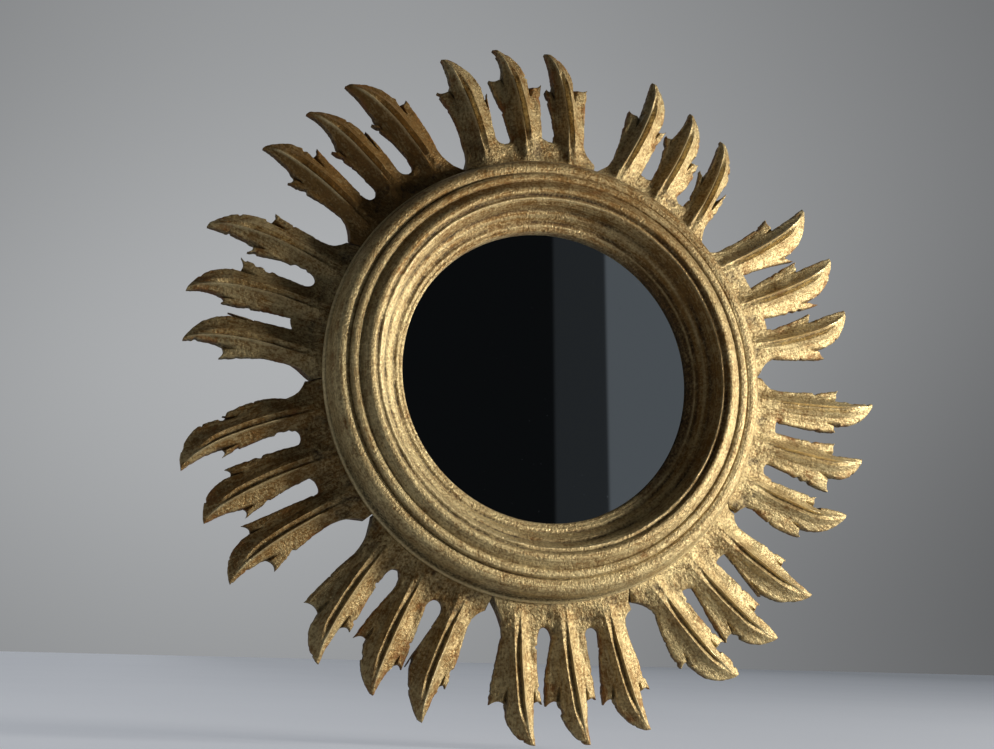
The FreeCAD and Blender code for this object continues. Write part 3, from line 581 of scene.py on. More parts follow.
def middle_lane(ray, left, right, grid):
    """Chords from left to right whose columns keep to the groove's edges and its line."""
    a1, l1 = ray.local(left)
    a2, l2 = ray.local(right)
    width = a2 - a1
    middle = (l1 + l2) / 2
    share = np.clip((ray.centre(middle) - a1) / width, 0.2, 0.8)
    half = np.minimum(ray.groove_half(middle) / width, 0.15)
    flank = max(4, int(FLANK_RUN / grid))
    groove = max(2, int(GROOVE_RUN / grid))
    low = np.linspace(0, 1, flank + 1)
    mid = np.linspace(-1, 1, 2 * groove + 1)[1:-1]
    columns = np.concatenate((
        low[None] * (share - half)[:, None],
        share[:, None] + mid[None] * half[:, None],
        (share + half)[:, None] + low[None] * (1 - share - half)[:, None]), axis=1)
    return left[:, None] + columns[..., None] * (right - left)[:, None]


def grid_quads(rows, columns, start):
    """Corner numbers of the quads of a grid whose points are numbered row by row from start."""
    index = start + np.arange(rows * columns).reshape(rows, columns)
    return np.stack((index[:-1, :-1], index[:-1, 1:], index[1:, 1:], index[1:, :-1]), -1).reshape(-1, 4)


def hanger_pocket(plan):
    """Back points of the top block drawn to the outline of the hanger's pocket, and their depth there.

    With s the distance from the slot's middle line and R its half width, points with |s - R| under
    POCKET_NEAR keep a tenth of s - R, from the rim at R or, inside it, from the foot of the wall; points
    with s under R are at the floor.
    """
    x, z = turned(plan, BLOCK_PHASE).T
    rise = np.maximum(z - POCKET_TOP, 0)
    reach = np.maximum(np.hypot(x, rise), 1e-6)
    over = reach - POCKET_HALF
    drawn = np.where(np.abs(over) > POCKET_NEAR, over, POCKET_KEEP * over - POCKET_WALL * (over < 0))
    scale = (POCKET_HALF + drawn) / reach
    back = turned(np.column_stack((x * scale, z + rise * (scale - 1))), -BLOCK_PHASE)
    return back, POCKET_DEPTH * (over < 0)


def block_surface(block, sizes):
    """Points, quads, material numbers and marks of one carved block.

    The lanes' plan grids are joined where they share a line; the front is their grid at the carved depth,
    rounded over at the sawn edge; the back is the same grid just off the wall, bevelled beside the necks,
    and on the top block sunk for the hanger; and each free edge of the grid gets a wall of four steps.
    The back and the inner end behind the ring are bare wood, and all else is gilded.
    """
    rays, lanes, insets = block_lanes(block, sizes.grid / MM)
    starts = np.cumsum([0] + [lane.shape[0] * lane.shape[1] for lane in lanes])
    plan = np.concatenate([lane.reshape(-1, 2) for lane in lanes])
    inset = np.concatenate([lane.ravel() for lane in insets])
    quads = np.concatenate([grid_quads(*lane.shape[:2], start) for lane, start in zip(lanes, starts)])
    keys = np.round(plan * 2000).astype(np.int64)
    _, first, joined = np.unique(keys, axis=0, return_index=True, return_inverse=True)
    plan, inset = plan[first], inset[first]
    quads = joined.reshape(-1)[quads]

    edges = np.stack((quads, np.roll(quads, -1, 1)), -1).reshape(-1, 2)
    ordered = np.sort(edges, 1)
    _, inverse, count = np.unique(ordered, axis=0, return_inverse=True, return_counts=True)
    rim = edges[count[inverse.reshape(-1)] == 1]
    on_rim = np.zeros(len(plan), bool)
    on_rim[rim.ravel()] = True

    radius = np.hypot(*plan.T)
    places = [ray.local(plan) for ray in rays]
    faces, hollows, crests = map(np.array, zip(*[ray.relief(*place) for ray, place in zip(rays, places)]))
    order = np.sort(faces, 0)
    soft = 0.6 + 1.4 * (1 - ease(radius, *BLEND_RADII))
    depth = order[-1] + soft * np.log1p(np.exp((order[-2] - order[-1]) / soft))
    nearest = faces.argmax(0)
    pick = np.arange(len(plan))
    hollow, crest = hollows[nearest, pick], crests[nearest, pick]
    across, along = np.array(places).transpose(1, 0, 2)[:, nearest, pick]
    valley = np.exp((order[-2] - order[-1]) / 1.6) * ease(radius, *VALLEY_RADII)
    root = 1 - ease(radius, *ROOT_RADII)

    # gouge facets drawn out along the ray, and an uneven ground
    x, y = plan.T + 400 * (block + 1)
    side, run = across + 97 * (3 * block + nearest + 1), along + 60
    facets = lattice_noise(side, run * 0.28, 3.4, 41) * 1.5 + lattice_noise(side, run * 0.16, 1.7, 43) * 0.8
    rough = (lattice_noise(x, y, 11.0, 3) * 0.9 + lattice_noise(x, y, 4.2, 5) * 0.7
             + lattice_noise(x, y, 1.9, 7) * 0.4)
    depth += (rough * (1 + 1.6 * root) + facets * (1 - root)) * sizes.gouge / MM * ease(radius, *GROUND_RADII)
    hollow = np.maximum(hollow, 0.9 * ease(-rough, 0.1, 1.1) * ease(root, 0.2, 0.9))
    # sawn edges rounded over, wider at the roots: R - sqrt(R^2 - (R - distance)^2)
    curve = 1.3 + 2.4 * (1 - ease(radius, *ROUND_RADII))
    short = np.clip(1 - inset / curve, 0, 1)
    depth -= curve * (1 - np.sqrt(1 - short ** 2)) * 0.8 * ease(radius, *ROUND_START_RADII)
    seat = ease(radius, *SEAT_RADII)
    depth = np.minimum(BLOCK_THICKNESS * (1 - seat) + depth * seat,
                       BLOCK_THICKNESS + 1.5 * ease(radius, *SWELL_RADII))

    away = ease(radius, *FREE_RADII)
    bevel = (BEVEL_DEPTH * ease(radius, *BEVEL_RADII) * (1 - 0.8 * ease(radius, *BEVEL_FADE_RADII))
             * (1 - ease(inset, 0, 5)))
    wall_foot = np.maximum(np.minimum(bevel, depth - 2.5), BACK_GAP)
    back_plan = plan
    if block == 0:
        back_plan, pocket = hanger_pocket(plan)
        wall_foot = np.maximum(wall_foot, pocket)
    count = len(plan)
    saw = lattice_noise(x, y, 3.0, 13)
    levels, sheets = [], []
    for k, step in enumerate(WALL_LEVELS):
        swell = 0.18 * np.sin(math.pi * step) * saw * away
        levels.append(count * k + np.arange(count))
        outline = plan * (1 + swell / radius)[:, None] if step else back_plan
        sheets.append(np.column_stack((outline, wall_foot + (depth - wall_foot) * step)))
    walls = [np.stack((low[rim[:, 1]], low[rim[:, 0]], high[rim[:, 0]], high[rim[:, 1]]), -1)
             for low, high in zip(levels[:-1], levels[1:])]
    all_quads = np.concatenate([quads] + walls + [levels[-1][quads[:, ::-1]]])
    hidden = (radius[rim].max(1) < radius.min() + 1.5).astype(int)
    kinds = np.concatenate([np.zeros(len(quads), int)] + [hidden] * len(walls) + [np.ones(len(quads), int)])
    repeat = len(WALL_LEVELS)
    edge = on_rim.astype(float)
    marks = {
        "hollow": np.tile(np.clip(np.maximum(hollow, 0.35 * valley), 0, 1), repeat),
        # the crest mark lightens the leaf along the bead beside the groove: a painted highlight, with real
        # burnish in its lower roughness
        "crest": np.tile(crest, repeat),
        "rubbed": np.tile(np.exp(-inset / 3.0) * away, repeat),
        "root": np.tile(root, repeat),
        "wall": np.concatenate([np.full(count, min(1.0, 0.9 * k)) * edge for k in range(repeat)]),
        # this tone paints shade on the blocks to the left as well as giving each block its brown toning
        "tone_and_shade": np.full(count * repeat, BLOCK_TONE_AND_SHADE[block]),
        "grain": np.tile(np.column_stack((side, along, nearest * 40.0 + block * 130)), (repeat, 1)),
    }
    return np.concatenate(sheets), all_quads, kinds, marks


def used_only(points, quads, kinds, marks):
    """Drops the points that no quad uses and renumbers the rest."""
    used, quads = np.unique(quads, return_inverse=True)
    return points[used], quads.reshape(-1, 4), kinds, {name: values[used] for name, values in marks.items()}


def front_to_frame(points, degrees):
    """Block points (u, v, depth), turned clockwise by degrees, as metres in the frame: x, -depth, z."""
    x, z = turned(points, degrees).T
    return np.column_stack((x, -points[:, 2], z)) * MM


def make_piece(name, points, quads, materials, kinds=None, marks=None, plan=None, sharp=45.0):
    """A mesh object from whole arrays: points in metres, quads, material numbers and point marks."""
    mesh = bpy.data.meshes.new(name)
    mesh.vertices.add(len(points))
    mesh.vertices.foreach_set("co", points.astype(np.float32).ravel())
    mesh.loops.add(quads.size)
    mesh.loops.foreach_set("vertex_index", quads.astype(np.int32).ravel())
    mesh.polygons.add(len(quads))
    mesh.polygons.foreach_set("loop_start", np.arange(0, quads.size, 4, dtype=np.int32))
    mesh.polygons.foreach_set("loop_total", np.full(len(quads), 4, np.int32))
    if kinds is not None:
        mesh.polygons.foreach_set("material_index", kinds.astype(np.int32))
    mesh.polygons.foreach_set("use_smooth", np.ones(len(quads), bool))
    mesh.update(calc_edges=True)
    mesh.validate()
    for key, values in (marks or {}).items():
        kind, field = ("FLOAT", "value") if values.ndim == 1 else ("FLOAT_VECTOR", "vector")
        mesh.attributes.new(key, kind, "POINT").data.foreach_set(field, values.astype(np.float32).ravel())
    if plan is not None:
        layer = mesh.uv_layers.new(name="plan")
        layer.data.foreach_set("uv", (plan * MM)[quads.ravel()].astype(np.float32).ravel())
    mesh.set_sharp_from_angle(angle=math.radians(sharp))
    for material in materials:
        mesh.materials.append(material)
    piece = bpy.data.objects.new(name, mesh)
    bpy.context.scene.collection.objects.link(piece)
    return piece


def ring_profile():
    """Closed (radius, depth) profile of the moulding with hollow marks: arcs through three points each.

    The marks fall off as exp(-(distance / QUIRK_WIDTH)^2) from the quirks, where two arcs don't meet.
    """
    def outer(share, rise):
        return RIDGE_R + share * OUTER_SLOPE, RING_BACK + rise * RIDGE_RISE

    def inner(share, rise):
        return RIDGE_R - share * INNER_SLOPE, LIP_FRONT + rise * (RING_BACK + RIDGE_RISE - LIP_FRONT)

    arcs = [arc_points(*[outer(*p) for p in three], OUTER_POINTS) for three in OUTER_PROFILE]
    arcs.append(arc_points(*[outer(*p) for p in RIDGE_OUTER], inner(*RIDGE_INNER), RIDGE_POINTS))
    arcs += [arc_points(*[inner(*p) for p in three], INNER_POINTS) for three in INNER_PROFILE]
    back = [(SIGHT_R, MIRROR_FRONT), (REBATE_R, MIRROR_FRONT), (REBATE_R, RING_BACK),
            (RING_OUTER_R, RING_BACK), (RING_OUTER_R, RING_BACK + 1.0), (RING_OUTER_R, RING_BACK + 2.8),
            (RING_OUTER_R - 0.6, RING_BACK + 3.5), (RING_OUTER_R - 1.2, RING_BACK + 4.2)]
    profile = np.concatenate(arcs + [np.array(back)])
    joints = [(a[-1] + b[0]) / 2 for a, b in zip(arcs[:-1], arcs[1:]) if not np.allclose(a[-1], b[0])]
    quirks = np.array([arcs[0][0]] + joints)
    gap = np.hypot(*(profile[:, None] - quirks[None]).transpose(2, 0, 1)).min(1)
    return profile, np.exp(-(gap / QUIRK_WIDTH) ** 2)


def ring_surface(segments):
    """Points, quads, material numbers and marks of the ring: its profile turned round the axis.

    A point is (r sin a, r cos a, depth), with a turner's slight unevenness; the cove's grooves and arrises
    are exp(-(distance / width)^2) round their radii. The back and the rebate are bare wood.
    """
    profile, hollow = ring_profile()
    angle = np.linspace(0, 2 * np.pi, segments, endpoint=False)
    around = np.stack((np.cos(angle), np.sin(angle)), -1) * 300
    count = len(profile)
    depth = np.broadcast_to(profile[None, :, 1], (segments, count)).copy()
    radius = np.broadcast_to(profile[None, :, 0], (segments, count)).copy()
    run = np.concatenate(([0], np.cumsum(np.hypot(*np.diff(profile, axis=0).T))))
    x = np.broadcast_to(around[:, :1], (segments, count)) + 3 * run
    y = np.broadcast_to(around[:, 1:], (segments, count)) + 2 * run
    front = ease(depth, RING_BACK + 2, RING_BACK + 6) * ease(radius, SIGHT_R + 1, SIGHT_R + 3)
    lumps = lattice_noise(x, y, 14.0, 21) * 0.10 + lattice_noise(x, y, 5.0, 23) * 0.07
    cove = front * ease(depth, LIP_FRONT - 2, LIP_FRONT) * (1 - ease(radius, RIDGE_R - 3, RIDGE_R - 1))
    way = 0.75 + 0.45 * lattice_noise(x, y, 30.0, 27)
    groove = np.exp(-((radius[..., None] - COVE_GROOVES) / COVE_GROOVE_WIDTH) ** 2).max(-1) * cove * way
    raised = np.exp(-((radius[..., None] - COVE_ARRISES) / COVE_ARRIS_WIDTH) ** 2).max(-1) * cove * way
    depth += front * lumps + COVE_ARRIS_RISE * raised - COVE_GROOVE_DEPTH * groove
    radius += front * lattice_noise(x, y, 9.0, 25) * 0.08
    points = np.stack((radius * np.sin(angle)[:, None], radius * np.cos(angle)[:, None], depth), -1)
    index = np.arange(segments * count).reshape(segments, count)
    following = np.roll(index, -1, 0)
    quads = np.stack((index, np.roll(index, -1, 1), np.roll(following, -1, 1), following), -1).reshape(-1, 4)
    lip = 1 - ease(radius, SIGHT_R, RIDGE_R)
    # the outer arris and, at half weight, the cove's arrises take the burnished colour, lighter than the
    # leaf: a painted highlight along these edges, with real burnish in their lower roughness
    arris = np.exp(-((radius - RING_OUTER_R + 0.6) / 0.8) ** 2) * ease(depth, RING_BACK + 2, RING_BACK + 3)
    quirks = hollow * ease(radius, RIDGE_R - 3, RIDGE_R - 1)
    # painted shade: the cove is browner on the right, where the window light leaves it in shadow, and the
    # ring is browner towards the top; the rim takes the dirt colour on the right as the lip's painted shadow,
    # at half strength at the top and bottom, and not on the lit left
    right = ease(np.sin(angle), 0.4, 0.95)[:, None] * (1 - ease(radius, RIDGE_R - 4, RIDGE_R - 1))
    soiled_and_shaded = 0.5 * ease(np.sin(angle), -0.9, 0.2)[:, None] + 0.5 * right
    rim = soiled_and_shaded * (1 - ease(radius, SIGHT_R + 2.5, SIGHT_R + 4.5))
    bottom_left = ease(np.cos(angle - np.radians(PATINA_ANGLE)), 0.55, 0.95)[:, None]
    marks = {
        # the rim's share of this mark is the lip's painted shadow, strongest on the right
        "hollow": np.maximum.reduce((0.5 * quirks, 1.1 * groove, rim)).ravel(),
        "crest": np.maximum(arris, 0.5 * raised).ravel(),
        "root": lip.ravel() * 0.9,
        "wall": np.zeros(segments * count),
        # painted shade on the cove's right side, and a browner tone towards the top
        "tone_and_shade": (0.4 * ease(np.cos(angle), 0.2, 0.9)[:, None] + 0.6 * right).ravel(),
        "patina": (np.exp(-((radius - RING_OUTER_R + 2.6) / 1.1) ** 2) * bottom_left * front).ravel(),
        "grain": np.column_stack((np.broadcast_to(run, (segments, count)).ravel(),
                                  points[..., 0].ravel() * 0.2 + 700, points[..., 1].ravel() * 0.2)),
    }
    # the profile's last eight points start at the sight edge: the rebate's two faces, the back, the rim
    kinds = np.zeros((segments, count), int)
    kinds[:, -8:-5] = 1
    return points.reshape(-1, 3), quads, kinds.ravel(), marks


def gilded_wood(finish):
    """Water-gilt wood: gold leaf burnished over red clay on a gesso ground, given a brown toning and worn.

    It gives a warm, broken metal sheen, brown in the hollows, reddish where edges are rubbed, and grainy. Its
    brown tone also paints shade on the blocks to the left and on the ring's right cove, its dirt colour
    paints the lip's shadow on the ring's rim, and its burnished colour paints highlights on the crests and
    arrises.
    """
    material, tree = new_material("gilded_wood_water_gilt")
    coords = add(tree, "TexCoord").outputs["Object"]
    marks = {name: add(tree, "Attribute", attribute_name=name).outputs["Fac"]
             for name in ("hollow", "crest", "root", "wall", "rubbed", "patina", "tone_and_shade")}
    drawn = add(tree, "Attribute", attribute_name="grain").outputs["Vector"]
    # patches of toning about 14 mm across, and grains of leaf about 1.9 mm and 0.9 mm across
    patches = add(tree, "TexNoise", {"Vector": coords, "Scale": 1 / (14 * MM), "Detail": 5.0,
                                     "Roughness": 0.65})
    grains = add(tree, "TexNoise", {"Vector": coords, "Scale": 1 / (1.9 * MM), "Detail": 3.0,
                                    "Roughness": 0.6})
    fine = add(tree, "TexNoise", {"Vector": coords, "Scale": 1 / (0.9 * MM), "Detail": 2.0,
                                  "Roughness": 0.5})
    # streaks 0.9 mm by 9 mm, drawn out along the gouge and the lathe
    along = add(tree, "Mapping", {"Vector": drawn, "Scale": (1 / 0.9, 1 / 9, 1 / 9)})
    streaks = add(tree, "TexNoise", {"Vector": along, "Scale": 1.0, "Detail": 3.0, "Roughness": 0.6})
    # sound leaf, leaf under a brown toning, and burnished leaf on the crests; the tone mark also paints shade
    # on the blocks to the left and the ring's right cove, and the lighter burnished colour paints highlights
    # on the crests and arrises
    tones = add(tree, "Math", (streaks, 0.7, patches), operation="MULTIPLY_ADD")
    broken = add(tree, "Math", (grains, -0.9, tones), operation="MULTIPLY_ADD")
    tone = add(tree, "MapRange", (broken, 0.22, 0.75))
    brown = add(tree, "Math", (tone, marks["tone_and_shade"]), operation="ADD", use_clamp=True)
    leaf = add(tree, "Mix", {0: brown, 6: tuple(finish.gold_light), 7: tuple(finish.gold_dark)},
               data_type="RGBA")
    bright = add(tree, "Mix", {0: marks["crest"], 6: leaf, 7: tuple(finish.gold_bright)}, data_type="RGBA")
    # dirt: the hollows, broken up by the grains, and specks in the pits of the roots; on the ring's rim the
    # hollow mark also paints the lip's shadow in the dirt colour
    settled = add(tree, "Math", (marks["hollow"], marks["wall"]), operation="MAXIMUM")
    speck = add(tree, "MapRange", (grains, 0.40, 0.66, 0.85, 0.25))
    deep = add(tree, "Math", (settled, speck), operation="MULTIPLY")
    pits = add(tree, "MapRange", (grains, 0.30, 0.56, 0.75, 0.0))
    pitted = add(tree, "MapRange", (marks["root"], 0.0, 1.0, 0.35, 0.55))
    stain = add(tree, "Math", (pits, pitted), operation="MULTIPLY")
    dirty = add(tree, "Math", (deep, stain), operation="MAXIMUM", use_clamp=True)
    soiled_and_shaded = add(tree, "Mix", {0: dirty, 6: bright, 7: tuple(finish.dirt)}, data_type="RGBA")
    # bole where the leaf is rubbed through, mostly near the edges, and green-black patina
    edges = add(tree, "Math", (marks["rubbed"], 0.16, patches), operation="MULTIPLY_ADD")
    rub = add(tree, "MapRange", (edges, 0.63, 0.75, 0.0, 0.55))
    rubbed = add(tree, "Mix", {0: rub, 6: soiled_and_shaded, 7: tuple(finish.bole)}, data_type="RGBA")
    green = add(tree, "Math", (marks["patina"], speck), operation="MULTIPLY")
    colour = add(tree, "Mix", {0: green, 6: rubbed, 7: linear("#1C2414")}, data_type="RGBA")
    # what covers the leaf is dull and no metal
    worn_through = add(tree, "Math", (dirty, rub), operation="MAXIMUM")
    cover = add(tree, "Math", (worn_through, green), operation="MAXIMUM")
    metal = add(tree, "MapRange", (cover, 0.0, 1.0, 0.72, 0.08))
    gloss = add(tree, "MapRange", (fine, 0.3, 0.7, 0.46, 0.64))
    smooth = add(tree, "Math", (marks["crest"], -0.22, gloss), operation="MULTIPLY_ADD")
    rough = add(tree, "Math", (cover, 0.25, smooth), operation="MULTIPLY_ADD")
    # grainy ground, coarser at the roots, with the streaks of the tool
    weight = add(tree, "MapRange", (marks["root"], 0.0, 1.0, 0.8, 1.2))
    coarse = add(tree, "Math", (grains, weight), operation="MULTIPLY")
    combed = add(tree, "Math", (streaks, 0.3, coarse), operation="MULTIPLY_ADD")
    texture = add(tree, "Math", (fine, 0.3, combed), operation="MULTIPLY_ADD")
    bump = add(tree, "Bump", {"Height": texture, "Strength": 0.9, "Distance": 1.1 * MM})
    shader = add(tree, "BsdfPrincipled", {"Base Color": colour, "Metallic": metal, "Roughness": rough,
                                          "Normal": bump})
    add(tree, "OutputMaterial", (shader,))
    return material


def sawn_wood(finish):
    """Sawn and stained poplar at the back: brown, open-grained, matt, with saw lines across the grain."""
    material, tree = new_material("sawn_poplar_stained")
    plan = add(tree, "UVMap", uv_map="plan").outputs["UV"]
    # fibres 1.2 mm by 26 mm, and saw lines 1.7 mm apart
    along = add(tree, "Mapping", {"Vector": plan, "Scale": (1 / (1.2 * MM), 1 / (26 * MM), 1)})
    grain = add(tree, "TexNoise", {"Vector": along, "Scale": 1.0, "Detail": 4.0, "Distortion": 0.4})
    saw = add(tree, "TexWave", {"Vector": plan, "Scale": 0.314 / (1.7 * MM), "Distortion": 1.5,
                                "Detail": 2.0}, bands_direction="Y")
    tone = add(tree, "MapRange", (grain, 0.3, 0.7))
    wood = add(tree, "Mix", {0: tone, 6: tuple(finish.bare_wood), 7: linear("#5A3C24")}, data_type="RGBA")
    lines = add(tree, "Math", (saw.outputs["Fac"], 0.5, grain), operation="MULTIPLY_ADD")
    bump = add(tree, "Bump", {"Height": lines, "Strength": 0.4, "Distance": 0.3 * MM})
    shader = add(tree, "BsdfPrincipled", {"Base Color": wood, "Roughness": 0.75, "IOR": 1.5, "Normal": bump})
    add(tree, "OutputMaterial", (shader,))
    return material


def silvered_glass(finish):
    """Float glass silvered at the back: a clear, slightly cool reflection with a few faint specks."""
    material, tree = new_material("silvered_float_glass")
    coords = add(tree, "TexCoord").outputs["Object"]
    # dust and foxing specks, 9 mm apart and under a millimetre wide
    specks = add(tree, "TexVoronoi", {"Vector": coords, "Scale": 1 / (9 * MM)})
    dust = add(tree, "MapRange", (specks, 0.03, 0.08, 0.12, 0.015))
    shader = add(tree, "BsdfPrincipled", {"Base Color": tuple(finish.silver), "Metallic": 1.0,
                                          "Roughness": dust})
    add(tree, "OutputMaterial", (shader,))
    return material


def hardboard():
    """Pressed hardboard: brown wood fibre, smooth and faintly mottled, with loose fibres."""
    material, tree = new_material("pressed_hardboard")
    coords = add(tree, "TexCoord").outputs["Object"]
    # fibres of 2.5 mm in clouds of 40 mm
    fibre = add(tree, "TexNoise", {"Vector": coords, "Scale": 1 / (2.5 * MM), "Detail": 6.0,
                                   "Distortion": 1.2})
    cloud = add(tree, "TexNoise", {"Vector": coords, "Scale": 1 / (40 * MM), "Detail": 3.0})
    both = add(tree, "Math", (fibre, cloud), operation="MULTIPLY")
    tone = add(tree, "MapRange", (both, 0.15, 0.36))
    board = add(tree, "Mix", {0: tone, 6: linear("#4A2F1B"), 7: linear("#7A5536")}, data_type="RGBA")
    bump = add(tree, "Bump", {"Height": fibre, "Strength": 0.3, "Distance": 0.2 * MM})
    shader = add(tree, "BsdfPrincipled", {"Base Color": board, "Roughness": 0.62, "IOR": 1.5, "Normal": bump})
    add(tree, "OutputMaterial", (shader,))
    return material


def aged_metal(name, bright, dull, roughness):
    """Old drawn or turned metal: worn bright in places and tarnished dull in others, in patches of 4 mm."""
    material, tree = new_material(name)
    coords = add(tree, "TexCoord").outputs["Object"]
    tarnish = add(tree, "TexNoise", {"Vector": coords, "Scale": 1 / (4 * MM), "Detail": 5.0})
    tone = add(tree, "MapRange", (tarnish, 0.38, 0.64))
    metal = add(tree, "Mix", {0: tone, 6: linear(bright), 7: linear(dull)}, data_type="RGBA")
    rough = add(tree, "MapRange", (tarnish, 0.3, 0.7, roughness, roughness + 0.22))
    bump = add(tree, "Bump", {"Height": tarnish, "Strength": 0.15, "Distance": 0.1 * MM})
    shader = add(tree, "BsdfPrincipled", {"Base Color": metal, "Metallic": 1.0, "Roughness": rough,
                                          "Normal": bump})
    add(tree, "OutputMaterial", (shader,))
    return material


def set_gilded(name, node, surface, degrees, finish, sharp=45.0):
    """A gilded piece with a bare wooden back, turned clockwise by degrees, in the place of a CAD node."""
    points, quads, kinds, marks = surface
    gilt = bpy.data.materials.get("gilded_wood_water_gilt") or gilded_wood(finish)
    bare = bpy.data.materials.get("sawn_poplar_stained") or sawn_wood(finish)
    place = front_to_frame(points, degrees)
    piece = make_piece(name, place, quads, (gilt, bare), kinds, marks, points[:, :2], sharp)
    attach(piece, "frame")
    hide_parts(node)


def dress(node, material):
    """Gives a CAD node its finish."""
    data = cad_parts[node].data
    data.materials.clear()
    data.materials.append(material)


def table_top(height):
    """Pale painted table: a square of quads far past the view, a little out of level and of tone."""
    span = np.linspace(-TABLE_HALF, TABLE_HALF, TABLE_LINES)
    x, y = (side.ravel() for side in np.meshgrid(span, span))
    points = np.column_stack((x, y, height - TABLE_GAP + TABLE_FALL[0] * x + TABLE_FALL[1] * y))
    material, tree = new_material("painted_table")
    coords = add(tree, "TexCoord").outputs["Object"]
    cloud = add(tree, "TexNoise", {"Vector": coords, "Scale": 1 / 0.35, "Detail": 2.0})
    tone = add(tree, "Mix", {0: cloud, 6: linear("#B9BDC4"), 7: linear("#C4C7CC")}, data_type="RGBA")
    paint = add(tree, "BsdfPrincipled", {"Base Color": tone, "Roughness": 0.6, "IOR": 1.45})
    # painted light: the table glows for the camera, and in part for reflections, as a pool of light that is
    # paler to the left and darker far off to the right
    split = add(tree, "SeparateXYZ", (coords,))
    near = add(tree, "MapRange", (split.outputs["X"], -0.45, 0.35, 0.68, 0.52),
               interpolation_type="SMOOTHSTEP")
    far = add(tree, "MapRange", (split.outputs["X"], 0.4, 4.0, 0.0, -0.27))
    strength = add(tree, "Math", (near, far), operation="ADD")
    pale = add(tree, "Emission", {"Color": linear("#A9ACB2"), "Strength": strength})
    both = add(tree, "AddShader", (paint, pale))
    path = add(tree, "LightPath")
    glossy = add(tree, "Math", (path.outputs["Is Glossy Ray"], 0.3), operation="MULTIPLY")
    shown = add(tree, "Math", (path.outputs["Is Camera Ray"], glossy), operation="MAXIMUM")
    shader = add(tree, "MixShader", (shown, paint, both))
    add(tree, "OutputMaterial", (shader,))
    table = make_piece("table_top", points, grid_quads(TABLE_LINES, TABLE_LINES, 0), (material,))


def room_light(scene):
    """Grey wall behind for the camera and reflections, and a dim room in front with a paler right side."""
    world = bpy.data.worlds.new("quiet_room")
    scene.world = world
    world.use_nodes = True
    tree = world.node_tree
    tree.nodes.clear()
    facing = add(tree, "TexCoord").outputs["Generated"]
    split = add(tree, "SeparateXYZ", (facing,))
    # the wall is palest left of the view's middle, and darkens to both sides, and off a slanting line
    beside = add(tree, "Math", (split.outputs["X"], WALL_PALEST), operation="SUBTRACT")
    aside = add(tree, "Math", (beside,), operation="ABSOLUTE")
    across = add(tree, "MapRange", (aside, 0.0, 0.75, 1.0, 0.2), interpolation_type="SMOOTHSTEP")
    slant = add(tree, "Math", (split.outputs["X"], WALL_SLANT, split.outputs["Z"]), operation="MULTIPLY_ADD")
    height = add(tree, "Math", (slant, WALL_LEVEL), operation="SUBTRACT")
    above = add(tree, "Math", (height,), operation="ABSOLUTE")
    level = add(tree, "MapRange", (above, 0.0, 0.30, 1.0, 0.70), interpolation_type="SMOOTHSTEP")
    shade = add(tree, "Math", (across, level), operation="MULTIPLY")
    # the room in front is dark, with two paler panels to the right that the glass shows
    bearing = add(tree, "Math", (split.outputs["X"], split.outputs["Y"]), operation="DIVIDE")
    near_panel = add(tree, "MapRange", (bearing, *NEAR_PANEL, 0.022, 0.0))
    far_panel = add(tree, "MapRange", (bearing, *FAR_PANEL, 0.1, 0.0))
    both = add(tree, "Math", (near_panel, far_panel), operation="ADD")
    end = add(tree, "MapRange", (bearing, *PANELS_END))
    panels = add(tree, "Math", (both, end), operation="MULTIPLY")
    dim = add(tree, "Math", (panels, ROOM_DIM), operation="ADD")
    behind = add(tree, "MapRange", (split.outputs["Y"], -0.04, 0.08))
    room = add(tree, "Mix", {0: behind, 2: dim, 3: WALL_GLOW}, data_type="FLOAT")
    path = add(tree, "LightPath")
    glossy = add(tree, "Math", (path.outputs["Is Glossy Ray"], behind), operation="MULTIPLY")
    shown = add(tree, "Math", (path.outputs["Is Camera Ray"], glossy), operation="MAXIMUM")
    seen = add(tree, "Background", (linear("#AEB0B2"), shade))
    unseen = add(tree, "Background", (linear("#E4EEF8"), room))
    mixed = add(tree, "MixShader", (shown, unseen, seen))
    add(tree, "OutputWorld", (mixed,))


def lamp(name, place, target, size, watts, colour):
    """A rectangular soft light that faces its target and isn't seen itself."""
    data = bpy.data.lights.new(name, "AREA")
    data.shape = "RECTANGLE"
    data.size, data.size_y = size
    data.energy = watts
    data.color = linear(colour)[:3]
    light = bpy.data.objects.new(name, data)
    bpy.context.scene.collection.objects.link(light)
    light.visible_camera = False
    light.location = place
    light.rotation_euler = (Vector(target) - Vector(place)).to_track_quat("-Z", "Y").to_euler()


def photo_camera(scene):
    """The camera at the photograph's place and angle."""
    data = bpy.data.cameras.new("photo_camera")
    data.lens = CAMERA_LENS
    data.sensor_width = CAMERA_SENSOR
    data.sensor_fit = "HORIZONTAL"
    data.clip_start = 0.01
    camera = bpy.data.objects.new("photo_camera", data)
    scene.collection.objects.link(camera)
    camera.location = CAMERA_PLACE
    camera.rotation_euler = Vector(CAMERA_LOOK).normalized().to_track_quat("-Z", "Y").to_euler()
    scene.camera = camera


class SUNBURST_OT_carve_rays(bpy.types.Operator):
    """Carve the blocks of leaf rays and gild them"""
    bl_idname = "sunburst.carve_rays"
    bl_label = "Carve the rays"

    def execute(self, context):
        scene = context.scene
        for block, node in enumerate(BLOCK_NODES):
            surface = used_only(*block_surface(block, scene.sunburst_sizes))
            angle = BLOCK_PHASE + BLOCK_PITCH * block
            set_gilded("carved_" + node, node, surface, angle, scene.sunburst_finish)
        return {"FINISHED"}


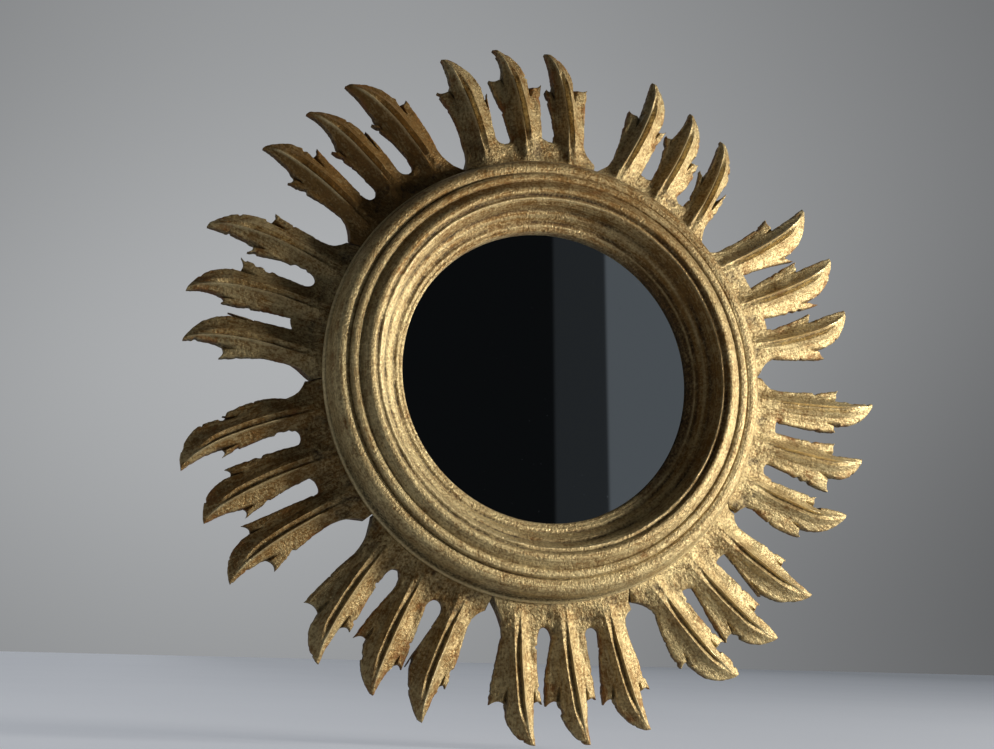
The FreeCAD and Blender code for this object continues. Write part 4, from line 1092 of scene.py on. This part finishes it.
class SUNBURST_OT_turn_ring(bpy.types.Operator):
    """Turn the moulding ring and gild it"""
    bl_idname = "sunburst.turn_ring"
    bl_label = "Turn the ring"

    def execute(self, context):
        scene = context.scene
        surface = ring_surface(scene.sunburst_sizes.ring_segments)
        set_gilded("turned_moulding_ring", "moulding_ring", surface, 0, scene.sunburst_finish, sharp=30.0)
        return {"FINISHED"}


class SUNBURST_OT_set_glass(bpy.types.Operator):
    """Silver the mirror plate and finish the board and pins behind it"""
    bl_idname = "sunburst.set_glass"
    bl_label = "Set the glass"

    def execute(self, context):
        dress("mirror_plate", silvered_glass(context.scene.sunburst_finish))
        dress("backing_board", hardboard())
        dress("backing_pins", aged_metal("drawn_steel_pins", "#8C8780", "#4C443C", 0.4))
        return {"FINISHED"}


class SUNBURST_OT_fit_hanger(bpy.types.Operator):
    """Finish the screws, the strap and the hanging eye"""
    bl_idname = "sunburst.fit_hanger"
    bl_label = "Fit the hanger"

    def execute(self, context):
        steel = aged_metal("turned_steel_screws", "#8E8A84", "#4A4038", 0.35)
        brass = aged_metal("rolled_brass", "#B08D4C", "#5E4522", 0.34)
        for node in ("block_screws", "hanger_screws"):
            dress(node, steel)
        for node in ("hanger_strap", "hanger_eye"):
            dress(node, brass)
        return {"FINISHED"}


class SUNBURST_OT_set_stage(bpy.types.Operator):
    """Place the table, the soft light and the camera"""
    bl_idname = "sunburst.set_stage"
    bl_label = "Set the stage"

    def execute(self, context):
        scene = context.scene
        table_top(CAD_BOX[0].z)
        room_light(scene)
        for settings in LAMPS:
            lamp(*settings)
        photo_camera(scene)
        scene.view_settings.view_transform = "Standard"
        return {"FINISHED"}


class SUNBURST_PT_panel(bpy.types.Panel):
    """Steps that dress the mirror"""
    bl_idname = "SUNBURST_PT_panel"
    bl_label = "Sunburst mirror"
    bl_space_type = "VIEW_3D"
    bl_region_type = "UI"
    bl_category = "Sunburst"

    def draw(self, context):
        for group in (context.scene.sunburst_sizes, context.scene.sunburst_finish):
            for name in group.__annotations__:
                self.layout.prop(group, name)
        for operator in OPERATORS:
            self.layout.operator(operator.bl_idname)


OPERATORS = (
    SUNBURST_OT_carve_rays,
    SUNBURST_OT_turn_ring,
    SUNBURST_OT_set_glass,
    SUNBURST_OT_fit_hanger,
    SUNBURST_OT_set_stage,
)
CLASSES = (SunburstFinish, SunburstSizes, *OPERATORS, SUNBURST_PT_panel)


def register():
    for cls in CLASSES:
        bpy.utils.register_class(cls)
    bpy.types.Scene.sunburst_finish = bpy.props.PointerProperty(type=SunburstFinish)
    bpy.types.Scene.sunburst_sizes = bpy.props.PointerProperty(type=SunburstSizes)


def unregister():
    del bpy.types.Scene.sunburst_sizes
    del bpy.types.Scene.sunburst_finish
    for cls in reversed(CLASSES):
        bpy.utils.unregister_class(cls)


def main():
    register()
    bpy.ops.sunburst.carve_rays()
    bpy.ops.sunburst.turn_ring()
    bpy.ops.sunburst.set_glass()
    bpy.ops.sunburst.fit_hanger()
    bpy.ops.sunburst.set_stage()


if __name__ == "__main__":
    main()
